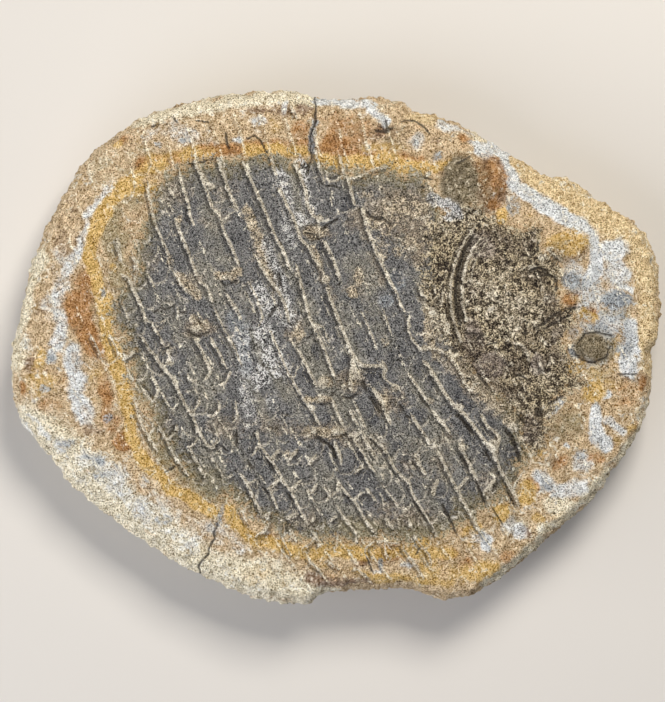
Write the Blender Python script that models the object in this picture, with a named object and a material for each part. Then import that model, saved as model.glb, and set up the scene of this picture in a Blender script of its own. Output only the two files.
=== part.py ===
"""Half of a split stone nodule with the scaled trunk of a deep-bodied fossil fish on its face.

The nodule lies on its domed back: the rest face is at z = 0, the split face looks up, the
fish's back points to +Y and its head end to +X.

Run with: blender --background --python part.py
"""

import math

import bmesh
import bpy
from mathutils import Vector, noise

MM = 0.001

# Levels of the stone, above the rest face
GIRTH_HEIGHT = 12.5 * MM  # where the stone is widest
EDGE_HEIGHT = 21.0 * MM  # the split edge, where the outer rind meets the split face
FACE_CROWN = 3.6 * MM  # rise of the split face from its edge to its middle
EDGE_DROP = 0.8 * MM  # the split face cuts this far below the top of the rind's round

# Outer form
OUTLINE_SIDES = 124
REST_FACE_HALF_LENGTH = 37.0 * MM
REST_FACE_HALF_WIDTH = 27.0 * MM
BACK_STEPS = 4
RIND_STEPS = 3
RIND_WIDTH = 4.5 * MM  # width of the sloping rind seen from above
RIND_LOBES = (  # wider stretches of rind: direction, spread, extra width
    (34.0, 14.0, 9.0 * MM),
    (216.0, 22.0, 9.5 * MM),
)
RIND_ROUGHNESS = 0.6 * MM
RIND_LUMP = 11.0 * MM
BACK_ROUGHNESS = 1.5 * MM
BACK_LUMP = 27.0 * MM

# Half length and half width of the split face, for its crown
FACE_HALF_LENGTH = 85.0 * MM
FACE_HALF_WIDTH = 67.0 * MM
FACE_SWELL = 0.45 * MM
FACE_SWELL_LUMP = 14.0 * MM

# Scale rows lean and bend backwards, down the flank
ROW_PITCH = 6.5 * MM
TAIL_ROW_PITCH = 5.6 * MM
TAIL_START = -42.0 * MM
FIRST_ROW = -22.2 * MM
ROW_TOP = 46.6 * MM
ROW_LEAN = 0.30
ROW_BEND = 2.09  # per metre
RIDGE_HALF_WIDTH = 0.65 * MM
RIDGE_HEIGHT = 0.75 * MM
SCALE_STEP = 0.22 * MM  # each row of scales overlaps the next by this much

# Lower ends of the scales, across the rows
SCALE_LENGTH = 8.0 * MM
BAR_HALF_WIDTH = 0.8 * MM
BAR_HEIGHT = 0.8 * MM
BAR_RISE = 0.55
BAR_ZONE_TOP = -5.0 * MM
BAR_ZONE_TILT = 0.35
BAR_ZONE_X = -40.0 * MM

# Region of the trunk: a tilted ellipse, cut off by the edge of the head
TRUNK_CENTRE = (-5.3 * MM, -0.3 * MM)
TRUNK_HALF_LENGTH = 67.0 * MM
TRUNK_HALF_HEIGHT = 62.0 * MM
TRUNK_TILT = 0.34
HEAD_EDGE_X = 25.0 * MM
HEAD_EDGE_Y = 12.0 * MM
HEAD_EDGE_BELOW = 0.6
HEAD_EDGE_ABOVE = 0.1
HEAD_CENTRE = (50.0 * MM, 8.0 * MM)
HEAD_HALF_LENGTH = 25.0 * MM
HEAD_HALF_HEIGHT = 31.0 * MM
HEAD_ROUGHNESS = 1.3 * MM
HEAD_LUMP = 4.2 * MM
LONGEST_HEAD_CELL = 3.2 * MM

# Curved groove round the cheek
CHEEK_CENTRE = (47.4 * MM, 11.0 * MM)
CHEEK_RADIUS = 16.3 * MM
CHEEK_HALF_WIDTH = 1.6 * MM
CHEEK_DEPTH = 1.0 * MM

# Raised bones and nodules of the head and flank: x, y, half length, half height, rise
LUMPS = {
    "gill_knob": (36.2 * MM, 41.8 * MM, 8.6 * MM, 10.0 * MM, 2.4 * MM),
    "brow_lump": (61.3 * MM, 27.2 * MM, 6.4 * MM, 4.8 * MM, 1.4 * MM),
    "jaw_lump": (69.0 * MM, 0.2 * MM, 6.4 * MM, 5.2 * MM, 1.5 * MM),
    "snout_plate": (70.5 * MM, 14.5 * MM, 6.5 * MM, 6.5 * MM, 0.8 * MM),
    "cheek_lump": (56.0 * MM, 8.0 * MM, 7.0 * MM, 6.0 * MM, 1.0 * MM),
    "throat_lump": (50.0 * MM, -9.0 * MM, 7.5 * MM, 5.5 * MM, 0.9 * MM),
    "flank_knot": (-3.0 * MM, -12.5 * MM, 6.0 * MM, 4.0 * MM, 0.8 * MM),
    "belly_knot": (7.5 * MM, -23.0 * MM, 6.5 * MM, 4.0 * MM, 0.6 * MM),
}

# The old break: open at its two ends, filled with crumbs between them
CRACK_HALF_WIDTH = 0.45 * MM
CRACK_FLOOR = 18.0 * MM
CRACK_TOP = 32.0 * MM
CRACK_PATHS_MM = {
    "top_crack": ((-4.9, 72.0), (-5.1, 62.0), (-6.2, 56.5), (-5.0, 50.5), (-7.2, 42.5)),
    "lower_crack": ((-31.0, -46.5), (-32.6, -52.5), (-35.6, -57.0), (-37.4, -66.0)),
}
FILLING_PATH_MM = ((-7.2, 41.5), (-12.6, 27.0), (-17.2, 9.7), (-24.0, -10.0), (-30.5, -43.0))
FILLING_HALF_WIDTH = 3.0 * MM
FILLING_RISE = 0.35 * MM

# The relief block that cuts the split face
BLOCK_S = (-118.0 * MM, 86.0 * MM)
BLOCK_V = (-66.0 * MM, 98.0 * MM)
BLOCK_FLOOR = -4.0 * MM
BODY_TOP = 40.0 * MM

STONE_COLOUR = (0.33, 0.25, 0.16, 1.0)
STONE_ROUGHNESS = 0.85

# Outline of the widest level, in millimetres, anticlockwise from the snout end
OUTLINE_POINTS_MM = (
    (85.0, 11.0),
    (84.3, 22.0),
    (82.4, 27.8),
    (78.2, 33.2),
    (71.5, 37.2),
    (66.0, 40.8),
    (61.0, 44.3),
    (55.5, 44.9),
    (48.5, 48.9),
    (42.5, 52.6),
    (34.5, 57.3),
    (27.0, 60.5),
    (20.6, 61.9),
    (17.0, 64.4),
    (9.0, 65.4),
    (-4.0, 65.2),
    (-8.5, 66.5),
    (-14.5, 67.2),
    (-26.0, 66.2),
    (-39.0, 64.0),
    (-51.0, 59.7),
    (-60.5, 53.5),
    (-66.5, 47.2),
    (-72.0, 38.2),
    (-76.0, 30.5),
    (-79.8, 20.6),
    (-82.3, 9.8),
    (-84.5, -1.0),
    (-85.0, -9.5),
    (-82.8, -17.5),
    (-77.4, -26.3),
    (-72.6, -30.8),
    (-70.6, -34.4),
    (-64.5, -40.3),
    (-56.5, -46.3),
    (-48.0, -52.5),
    (-39.5, -57.6),
    (-31.5, -61.4),
    (-23.5, -65.0),
    (-14.0, -67.0),
    (-7.5, -67.1),
    (-2.8, -64.6),
    (9.0, -63.3),
    (21.0, -63.8),
    (29.5, -66.1),
    (37.0, -64.4),
    (45.0, -59.3),
    (50.8, -54.3),
    (57.2, -48.8),
    (64.5, -42.8),
    (72.2, -33.2),
    (78.8, -24.0),
    (82.0, -15.5),
    (83.3, -6.5),
    (82.8, -1.4),
    (84.7, 3.0),
)


def clear_scene():
    for old in list(bpy.data.objects):
        bpy.data.objects.remove(old, do_unlink=True)


def make_collection(name, hidden):
    collection = bpy.data.collections.new(name)
    collection.hide_render = hidden
    bpy.context.scene.collection.children.link(collection)
    return collection


def make_material(name, colour, roughness):
    material = bpy.data.materials.new(name)
    material.use_nodes = True
    shader = material.node_tree.nodes["Principled BSDF"]
    shader.inputs["Base Color"].default_value = colour
    shader.inputs["Roughness"].default_value = roughness
    shader.inputs["Metallic"].default_value = 0.0
    return material


def make_object(name, mesh, collection):
    bmesh.ops.recalc_face_normals(mesh, faces=mesh.faces)
    data = bpy.data.meshes.new(name)
    mesh.to_mesh(data)
    mesh.free()
    made = bpy.data.objects.new(name, data)
    collection.objects.link(made)
    return made


def smooth_step(value, low, high):
    """0 at low, 1 at high, with a soft start and end."""
    share = min(max((value - low) / (high - low), 0.0), 1.0)
    return share * share * (3.0 - 2.0 * share)


def smooth_noise(x, y, z, lump):
    """Smooth random swell from about -1 to 1, with lumps of the given size."""
    return noise.noise(Vector((x, y, z)) / lump)


def spline_point(points, place):
    """Point on the closed Catmull-Rom curve through the points."""
    first = math.floor(place)
    share = place - first
    count = len(points)
    before, start, end, after = (Vector(points[(first + step) % count]) for step in (-1, 0, 1, 2))
    bend = 2 * before - 5 * start + 4 * end - after
    twist = 3 * (start - end) + after - before
    return 0.5 * (2 * start + (end - before) * share + bend * share**2 + twist * share**3)


def even_outline(sides):
    """Corners at even steps along the outline, in metres."""
    fine = 16
    steps = len(OUTLINE_POINTS_MM) * fine
    path = [spline_point(OUTLINE_POINTS_MM, step / fine) * MM for step in range(steps + 1)]
    lengths = [0.0]
    for start, end in zip(path, path[1:]):
        lengths.append(lengths[-1] + (end - start).length)
    corners = []
    place = 0
    for side in range(sides):
        wanted = lengths[-1] * side / sides
        while lengths[place + 1] < wanted:
            place += 1
        share = (wanted - lengths[place]) / (lengths[place + 1] - lengths[place])
        corners.append(path[place].lerp(path[place + 1], share))
    return corners


def inward_directions(corners):
    """Unit vectors that point into the outline, smoothed over a few corners."""
    count = len(corners)
    reach = 3
    directions = []
    for side in range(count):
        along = corners[(side + reach) % count] - corners[side - reach]
        directions.append(Vector((-along.y, along.x)).normalized())
    return directions


def rind_width(corner):
    """Width of the sloping rind at this corner, seen from above."""
    bearing = math.degrees(math.atan2(corner.y, corner.x)) % 360.0
    width = RIND_WIDTH
    for direction, spread, extra in RIND_LOBES:
        width += extra * math.exp(-(((bearing - direction) / spread) ** 2))
    return width


def back_ring(corners, step):
    """Ring of the domed back: step 0 is the rest face, step BACK_STEPS is the girth."""
    turn = math.radians(90.0) * step / BACK_STEPS
    share = math.sin(turn)
    height = GIRTH_HEIGHT * (1.0 - math.cos(turn))
    ring = []
    for corner in corners:
        bearing = math.atan2(corner.y / FACE_HALF_WIDTH, corner.x / FACE_HALF_LENGTH)
        foot_x = REST_FACE_HALF_LENGTH * math.cos(bearing)
        foot = Vector((foot_x, REST_FACE_HALF_WIDTH * math.sin(bearing)))
        place = foot.lerp(corner, share)
        lump = BACK_ROUGHNESS * smooth_noise(place.x, place.y, height, BACK_LUMP)
        lump += RIND_ROUGHNESS * smooth_noise(place.x, place.y, height, RIND_LUMP)
        lump *= math.sin(2.0 * turn)
        place = place * (1.0 - lump / place.length)
        ring.append(Vector((place.x, place.y, max(0.0, height + lump))))
    return ring


def rind_ring(corners, inward, step):
    """Ring of the rind's round, from the girth (step 0) up to the split edge (RIND_STEPS)."""
    turn = math.radians(90.0) * step / RIND_STEPS
    height = GIRTH_HEIGHT + (EDGE_HEIGHT - GIRTH_HEIGHT) * math.sin(turn)
    ring = []
    for corner, direction in zip(corners, inward):
        lump = RIND_ROUGHNESS * smooth_noise(corner.x, corner.y, height * 2.0, RIND_LUMP)
        inset = rind_width(corner) * (1.0 - math.cos(turn)) + lump * math.sin(turn)
        place = corner + direction * inset
        ring.append(Vector((place.x, place.y, height)))
    return ring


def nodule_rings():
    corners = even_outline(OUTLINE_SIDES)
    inward = inward_directions(corners)
    rings = [back_ring(corners, step) for step in range(BACK_STEPS + 1)]
    rings += [rind_ring(corners, inward, step) for step in range(1, RIND_STEPS + 1)]
    rings.append([Vector((place.x, place.y, BODY_TOP)) for place in rings[-1]])
    return rings


def make_nodule(collection):
    """Closed form of the nodule, drawn up ring by ring from the rest face to above the relief."""
    rings = nodule_rings()
    mesh = bmesh.new()
    side_layer = mesh.verts.layers.int.new("side")
    circle = bmesh.ops.create_circle(mesh, cap_ends=True, segments=OUTLINE_SIDES, radius=1.0)["verts"]
    circle.sort(key=lambda vert: math.atan2(vert.co.y, vert.co.x) % math.tau)
    for side, vert in enumerate(circle):
        vert[side_layer] = side
        vert.co = rings[0][side]
    edges = [edge for edge in mesh.edges if edge.is_boundary or len(edge.link_faces) == 1]
    for ring in rings[1:]:
        drawn = bmesh.ops.extrude_edge_only(mesh, edges=edges)["geom"]
        for vert in drawn:
            if isinstance(vert, bmesh.types.BMVert):
                vert.co = ring[vert[side_layer]]
        edges = [edge for edge in drawn if isinstance(edge, bmesh.types.BMEdge)]
        edges = [edge for edge in edges if len(edge.link_faces) == 1]
    bmesh.ops.edgeloop_fill(mesh, edges=edges)
    return make_object("fossil_nodule", mesh, collection)


def row_place(x, y):
    """Distance along the rows' numbering: constant down each leaning, bending scale row."""
    down = ROW_TOP - y
    return x - ROW_LEAN * down - ROW_BEND * down * down


def row_lines():
    """Places of all scale rows: even pitch on the trunk, closer towards the tail."""
    tail_rows = math.ceil((TAIL_START - BLOCK_S[0]) / TAIL_ROW_PITCH)
    trunk_rows = math.ceil((BLOCK_S[1] - FIRST_ROW) / ROW_PITCH)
    first_trunk_row = math.ceil((TAIL_START - FIRST_ROW) / ROW_PITCH)
    trunk = [FIRST_ROW + ROW_PITCH * row for row in range(first_trunk_row, trunk_rows)]
    tail = [trunk[0] - TAIL_ROW_PITCH * row for row in range(tail_rows, 0, -1)]
    return tail + trunk


def nearest_row(place, rows):
    """Index of the nearest scale row and the signed distance from it."""
    index = min(range(len(rows)), key=lambda row: abs(rows[row] - place))
    return index, place - rows[index]


def trunk_share(x, y):
    """1 on the scaled trunk, fading to 0 beyond its edge and on the head."""
    along = (x - TRUNK_CENTRE[0]) / TRUNK_HALF_LENGTH
    across = (y - TRUNK_CENTRE[1]) / TRUNK_HALF_HEIGHT
    reach = math.sqrt(max(0.0, along**2 + across**2 + TRUNK_TILT * along * across))
    body = 1.0 - smooth_step(reach, 0.93, 1.06)
    return body * (1.0 - head_side(x, y))


def head_side(x, y):
    """0 on the trunk, 1 past the curved edge of the head."""
    edge = HEAD_EDGE_X
    edge += HEAD_EDGE_BELOW * max(0.0, HEAD_EDGE_Y - y)
    edge += HEAD_EDGE_ABOVE * max(0.0, y - HEAD_EDGE_Y)
    return smooth_step(x, edge - 1.5 * MM, edge + 1.5 * MM)


def head_share(x, y):
    """1 on the rough bones of the head, 0 elsewhere."""
    along = (x - HEAD_CENTRE[0]) / HEAD_HALF_LENGTH
    across = (y - HEAD_CENTRE[1]) / HEAD_HALF_HEIGHT
    return head_side(x, y) * (1.0 - smooth_step(math.hypot(along, across), 0.85, 1.1))


def scale_relief(x, y, rows):
    """Ridges between the scale rows and bars at the scales' lower ends."""
    place = row_place(x, y)
    index, off = nearest_row(place, rows)
    vary = 0.75 + 0.45 * smooth_noise(x, y, index * ROW_PITCH, 9.0 * MM)
    ridge = RIDGE_HEIGHT * vary * max(0.0, 1.0 - abs(off) / RIDGE_HALF_WIDTH)
    step = SCALE_STEP if 0.0 < off else -SCALE_STEP
    across = y - BAR_RISE * place
    bar_index = round(across / SCALE_LENGTH)
    bar_off = across - bar_index * SCALE_LENGTH
    zone_edge = BAR_ZONE_TOP - BAR_ZONE_TILT * (x - BAR_ZONE_X)
    zone = 1.0 - smooth_step(y, zone_edge - 5.0 * MM, zone_edge + 5.0 * MM)
    bar_vary = 0.7 + 0.6 * smooth_noise(index * 7.3 * MM, bar_index * 5.1 * MM, 0.0, MM)
    bar = BAR_HEIGHT * zone * bar_vary * max(0.0, 1.0 - abs(bar_off) / BAR_HALF_WIDTH)
    return max(ridge, bar) + step * (1.0 - max(0.0, 1.0 - abs(off) / RIDGE_HALF_WIDTH))


def cheek_groove(x, y):
    """Depth of the curved groove on the front side of the cheek."""
    arm = Vector((x - CHEEK_CENTRE[0], y - CHEEK_CENTRE[1]))
    off = abs(arm.length - CHEEK_RADIUS)
    front = smooth_step(-arm.x, 0.2 * CHEEK_RADIUS, 0.6 * CHEEK_RADIUS)
    return CHEEK_DEPTH * front * max(0.0, 1.0 - off / CHEEK_HALF_WIDTH)


def head_relief(x, y):
    """Broken, crumbly bone surface of the head."""
    lumps = smooth_noise(x, y, 0.0, HEAD_LUMP)
    crumbs = 0.5 * smooth_noise(x, y, 40.0 * MM, 0.5 * HEAD_LUMP)
    return HEAD_ROUGHNESS * (lumps + crumbs) - cheek_groove(x, y)


def lump_relief(x, y):
    """Height of the raised bones and knots, steep at their sides and flat on top."""
    height = 0.0
    for centre_x, centre_y, half_length, half_height, rise in LUMPS.values():
        reach = math.hypot((x - centre_x) / half_length, (y - centre_y) / half_height)
        height = max(height, rise * (1.0 - smooth_step(reach, 0.7, 1.05)))
    return height


def filling_relief(x, y):
    """Crumbly filling of the old break, a little proud of the face."""
    here = Vector((x, y))
    path = [Vector(point) * MM for point in FILLING_PATH_MM]
    off = min(segment_distance(here, start, end) for start, end in zip(path, path[1:]))
    share = 1.0 - smooth_step(off, 0.5 * FILLING_HALF_WIDTH, FILLING_HALF_WIDTH)
    return FILLING_RISE * share * (0.6 + smooth_noise(x, y, 80.0 * MM, 3.0 * MM))


def segment_distance(here, start, end):
    along = end - start
    share = min(max((here - start).dot(along) / along.length_squared, 0.0), 1.0)
    return (here - start - along * share).length


def face_height(x, y, rows):
    """Height of the split face above the rest face."""
    spread = (x / FACE_HALF_LENGTH) ** 2 + (y / FACE_HALF_WIDTH) ** 2
    height = EDGE_HEIGHT - EDGE_DROP + FACE_CROWN * (1.0 - min(spread, 1.3))
    height += FACE_SWELL * smooth_noise(x, y, 20.0 * MM, FACE_SWELL_LUMP)
    height += scale_relief(x, y, rows) * trunk_share(x, y)
    height += head_relief(x, y) * head_share(x, y)
    height += lump_relief(x, y)
    height += filling_relief(x, y)
    return height


def row_columns(rows):
    """Grid columns: foot, crest and foot of each ridge."""
    columns = []
    for row in rows:
        columns += [row - RIDGE_HALF_WIDTH, row, row + RIDGE_HALF_WIDTH]
    return columns


def bar_lines():
    """Grid lines across the rows: foot, crest and foot of each bar."""
    first = math.ceil(BLOCK_V[0] / SCALE_LENGTH)
    last = math.floor(BLOCK_V[1] / SCALE_LENGTH)
    lines = []
    for bar in range(first, last + 1):
        centre = bar * SCALE_LENGTH
        lines += [centre - BAR_HALF_WIDTH, centre, centre + BAR_HALF_WIDTH]
    return lines


def grid_place(column, line):
    """Plan position of a grid crossing, from its row place and its place down the row."""
    y = line + BAR_RISE * column
    down = ROW_TOP - y
    return column + ROW_LEAN * down + ROW_BEND * down * down, y


def in_oval(x, y, centre_x, centre_y, half_length, half_height):
    return math.hypot((x - centre_x) / half_length, (y - centre_y) / half_height) < 1.15


def split_head_cells(mesh):
    """Halve the long grid cells on the head, which has lumps in place of scale rows."""
    long_edges = []
    for edge in mesh.edges:
        x, y = ((edge.verts[0].co + edge.verts[1].co) / 2.0).xy
        on_head = in_oval(x, y, *HEAD_CENTRE, HEAD_HALF_LENGTH, HEAD_HALF_HEIGHT)
        on_knob = in_oval(x, y, *LUMPS["gill_knob"][:4])
        if (on_head or on_knob) and edge.calc_length() > LONGEST_HEAD_CELL:
            long_edges.append(edge)
    bmesh.ops.subdivide_edges(mesh, edges=long_edges, cuts=1, use_grid_fill=True)


def make_relief_block(collection):
    """Block whose top is the split face: a grid laid along the scale rows, with sides and a floor."""
    rows = row_lines()
    columns = row_columns(rows)
    lines = bar_lines()
    mesh = bmesh.new()
    across = len(columns) - 1
    down = len(lines) - 1
    grid = bmesh.ops.create_grid(mesh, x_segments=across, y_segments=down, size=1.0)["verts"]
    for vert in grid:
        column = columns[round((vert.co.x + 1.0) / 2.0 * across)]
        line = lines[round((vert.co.y + 1.0) / 2.0 * down)]
        vert.co = (*grid_place(column, line), 0.0)
    split_head_cells(mesh)
    for vert in mesh.verts:
        vert.co.z = face_height(vert.co.x, vert.co.y, rows)
    border = [edge for edge in mesh.edges if len(edge.link_faces) == 1]
    drawn = bmesh.ops.extrude_edge_only(mesh, edges=border)["geom"]
    for vert in drawn:
        if isinstance(vert, bmesh.types.BMVert):
            vert.co.z = BLOCK_FLOOR
    floor_edges = [edge for edge in mesh.edges if len(edge.link_faces) == 1]
    bmesh.ops.edgeloop_fill(mesh, edges=floor_edges)
    bmesh.ops.triangulate(mesh, faces=mesh.faces)
    return make_object("relief_block", mesh, collection)


def make_crack_cutter(name, path, collection):
    """Thin upright blade along the open part of the break."""
    mesh = bmesh.new()
    points = [mesh.verts.new((x * MM, y * MM, CRACK_FLOOR)) for x, y in path]
    edges = [mesh.edges.new(pair) for pair in zip(points, points[1:])]
    drawn = bmesh.ops.extrude_edge_only(mesh, edges=edges)["geom"]
    for vert in drawn:
        if isinstance(vert, bmesh.types.BMVert):
            vert.co.z = CRACK_TOP
    bmesh.ops.recalc_face_normals(mesh, faces=mesh.faces)
    bmesh.ops.solidify(mesh, geom=mesh.faces[:], thickness=2.0 * CRACK_HALF_WIDTH)
    return make_object(name, mesh, collection)


def cut(target, cutter, operation):
    cutter.display_type = "WIRE"
    cutter.hide_render = True
    modifier = target.modifiers.new(cutter.name, "BOOLEAN")
    modifier.operation = operation
    modifier.solver = "EXACT"
    modifier.object = cutter


def main():
    clear_scene()
    parts = make_collection("fossil_fish", hidden=False)
    cutters = make_collection("cutters", hidden=True)
    nodule = make_nodule(parts)
    cut(nodule, make_relief_block(cutters), "INTERSECT")
    for name, path in CRACK_PATHS_MM.items():
        cut(nodule, make_crack_cutter(name, path, cutters), "DIFFERENCE")
    nodule.data.materials.append(make_material("fossil_stone", STONE_COLOUR, STONE_ROUGHNESS))


main()
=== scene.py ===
# %% [markdown]
# # A fossil fish in its split nodule
#
# The object is one half of a stone nodule, split open along the fish inside it. The split
# face shows the fish's trunk: leaning rows of thick scales, dark blue-grey, with cream mineral
# along their edges. Round it runs a rusty ochre halo, and round that the pale weathered rind.
#
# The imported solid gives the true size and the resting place. This lesson builds a finer stone
# over it: one closed sheet, laid along the scale rows, drawn down over the rind and the back.

# %% Load the frame
import math

import bmesh
import bpy
import numpy as np
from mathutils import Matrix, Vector, kdtree, noise


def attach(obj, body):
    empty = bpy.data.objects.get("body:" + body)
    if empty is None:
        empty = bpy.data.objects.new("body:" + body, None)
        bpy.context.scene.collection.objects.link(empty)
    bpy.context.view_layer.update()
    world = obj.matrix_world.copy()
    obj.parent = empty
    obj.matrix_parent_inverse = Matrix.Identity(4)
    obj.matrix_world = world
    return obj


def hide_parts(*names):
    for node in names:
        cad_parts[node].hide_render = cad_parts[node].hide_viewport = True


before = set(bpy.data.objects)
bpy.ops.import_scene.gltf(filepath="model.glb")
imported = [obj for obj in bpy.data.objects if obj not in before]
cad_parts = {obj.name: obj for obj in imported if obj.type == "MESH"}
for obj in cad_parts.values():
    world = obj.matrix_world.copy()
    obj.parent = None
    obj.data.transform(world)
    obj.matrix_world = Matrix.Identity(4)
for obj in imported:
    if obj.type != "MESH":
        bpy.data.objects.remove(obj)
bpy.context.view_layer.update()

# %% [markdown]
# ## Working in millimetres
#
# Scales and cracks are a few millimetres across, so shapes are worked out in millimetres and
# the finished mesh is scaled to metres once. Soft edges come from a smooth step.

# %% Millimetres and soft edges
MM = 0.001


def smooth_step(value, low, high):
    """0 at low, 1 at high, with a soft start and end."""
    share = np.clip((value - low) / (high - low), 0.0, 1.0)
    return share * share * (3.0 - 2.0 * share)


# %% [markdown]
# ## Unevenness
#
# Nothing on a stone is even. A smooth noise gives swells and a fractal noise rough ground, both
# the same on every run. Each kind of unevenness is a row in a table: its height, the size of its
# lumps, and the level at which it reads the noise, in millimetres. The levels lie apart, so that
# lumps of two kinds don't coincide, but the scale edges wander with the row lines.

# %% Noise
FRACTAL_GAIN = 0.8
FRACTAL_STEP = 2.1
OCTAVES = 4
SWELLS = {
    "row wander": (0.5, 7.0, 0.0),
    "head crumbs": (0.55, 3.6, 0.0),
    "scale shift along": (0.8, 7.0, 0.0),
    "scale shiver along": (0.25, 2.0, 4.0),
    "scale shift up": (1.0, 7.0, 8.0),
    "scale shiver up": (0.35, 2.0, 12.0),
    "face": (0.45, 14.0, 20.0),
    "ridge thickness": (0.9, 1.8, 31.0),
    "scale patches": (1.0, 4.0, 33.0),
    "rock lumps": (0.5, 7.0, 70.0),
    "rock grains": (1.0, 1.1, 75.0),
    "stain shiver along": (0.5, 1.7, 90.0),
    "stain shiver up": (0.5, 1.7, 95.0),
}
ROUGHS = {
    "head crumbs": (0.75, 1.3, 40.0),
    "clinging crumbs": (0.75, 1.6, 44.0),
    "rock": (1.0, 3.0, 60.0),
}


def swell(x, y, z, lump):
    """Smooth random heights from about -1 to 1, with lumps of the given size."""
    places = np.broadcast(x, y, z)
    return np.array([noise.noise((a / lump, b / lump, c / lump)) for a, b, c in places])


def rough(x, y, z, lump):
    """Random heights with detail at several sizes, the largest being lump."""
    places = [(a / lump, b / lump, c / lump) for a, b, c in np.broadcast(x, y, z)]
    return np.array([noise.fractal(place, FRACTAL_GAIN, FRACTAL_STEP, OCTAVES) for place in places])


def swells(kind, x, y):
    """One kind of smooth unevenness, in millimetres."""
    height, lump, level = SWELLS[kind]
    return height * swell(x, y, level, lump)


def roughs(kind, x, y):
    """One kind of rough unevenness, in millimetres."""
    height, lump, level = ROUGHS[kind]
    return height * rough(x, y, level, lump)


# %% [markdown]
# ## Drawn patches and lines
#
# Much of a fossil can't be worked out by a formula: it has to be drawn. A patch is an oval, with
# its x, y, half length, half height and strength. A line is its half width, its strength and then
# the x and y of each point. Both have soft edges, and both are read at the mesh's own vertices.

# %% Patches
PATCH_CORE, PATCH_END = 0.5, 1.25
PATCH_REACH = 1.3


def oval_reach(x, y, centre_x, centre_y, half_length, half_height):
    """1 on the oval's edge, less inside it."""
    return np.hypot((x - centre_x) / half_length, (y - centre_y) / half_height)


def spots(x, y, ovals):
    """How strongly the soft patches cover each point."""
    cover = np.zeros_like(x)
    for centre_x, centre_y, half_length, half_height, strength in ovals:
        reach = PATCH_REACH * max(half_length, half_height)
        near = (np.abs(x - centre_x) < reach) & (np.abs(y - centre_y) < reach)
        share = oval_reach(x[near], y[near], centre_x, centre_y, half_length, half_height)
        patch = strength * (1.0 - smooth_step(share, PATCH_CORE, PATCH_END))
        cover[near] = np.maximum(cover[near], patch)
    return cover


# %% [markdown]
# ### Lines that stay sharp
#
# A thin line kept as a coverage on the vertices would look beaded, because it is thinner than
# the mesh's faces. A signed distance from the line changes evenly across the faces instead, so
# the material can draw the line as sharply as it likes. The distance has a minus on the line's
# right-hand side, which tells a ridge's lower side from its upper one.

# %% Lines
LINE_REACH = 2.0
LINE_FADE_START = 0.7
LINE_WIDTH = 0.4
END_FADE = 0.4
FAR = 1e9
STROKE_CORE, STROKE_END = 0.4, 1.5


def unpack(line):
    """Half width, strength and path of a drawn line."""
    half_width, strength, *places = line
    return half_width, strength, list(zip(places[::2], places[1::2]))


def line_gap(x, y, path):
    """Distance in plan from the path, with a minus on its right, and where it is past an end."""
    nearest = np.full_like(x, FAR)
    signed = np.full_like(x, FAR)
    past_end = np.zeros(x.shape, bool)
    last = len(path) - 2
    for number, ((x0, y0), (x1, y1)) in enumerate(zip(path, path[1:])):
        run_x, run_y = x1 - x0, y1 - y0
        share = ((x - x0) * run_x + (y - y0) * run_y) / (run_x**2 + run_y**2)
        kept = np.clip(share, 0.0, 1.0)
        gap_x, gap_y = x - x0 - kept * run_x, y - y0 - kept * run_y
        gap = np.hypot(gap_x, gap_y)
        closer = gap < nearest
        nearest = np.where(closer, gap, nearest)
        signed = np.where(closer, np.where(run_x * gap_y < run_y * gap_x, -gap, gap), signed)
        past = ((number == 0) & (share < 0.0)) | ((number == last) & (share > 1.0))
        past_end = np.where(closer, past, past_end)
    return signed, past_end


def near_path(x, y, path, reach):
    """Picks the points near a path, so that the others needn't be measured."""
    (low_x, low_y), (high_x, high_y) = np.min(path, axis=0) - reach, np.max(path, axis=0) + reach
    return (x > low_x) & (x < high_x) & (y > low_y) & (y < high_y)


def line_maps(x, y, lines):
    """Signed gap to the nearest drawn line, its half width, and how strongly it shows here."""
    nearest = np.full_like(x, LINE_REACH)
    signed, width, cover = nearest.copy(), np.full_like(x, LINE_WIDTH), np.zeros_like(x)
    for half_width, strength, path in map(unpack, lines):
        places = np.flatnonzero(near_path(x, y, path, LINE_REACH))
        gap, past_end = line_gap(x[places], y[places], path)
        shown = strength * (1.0 - smooth_step(np.abs(gap), LINE_FADE_START * LINE_REACH, LINE_REACH))
        end = 1.0 - smooth_step(np.abs(gap), 0.0, half_width + END_FADE)
        shown *= np.where(past_end, end, 1.0)
        closer = np.abs(gap) < nearest[places]
        places, gap = places[closer], gap[closer]
        nearest[places], signed[places], width[places] = np.abs(gap), gap, half_width
        cover[places] = shown[closer]
    return signed, width, cover


def strokes(x, y, lines):
    """How strongly broad soft lines cover each point."""
    cover = np.zeros_like(x)
    for half_width, strength, path in map(unpack, lines):
        near = near_path(x, y, path, STROKE_END * half_width)
        gap = np.abs(line_gap(x[near], y[near], path)[0])
        fade = smooth_step(gap, STROKE_CORE * half_width, STROKE_END * half_width)
        cover[near] = np.maximum(cover[near], strength * (1.0 - fade))
    return cover


def drawn(x, y, lines, ovals):
    """Broad lines and patches together."""
    return np.maximum(strokes(x, y, lines), spots(x, y, ovals))
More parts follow.
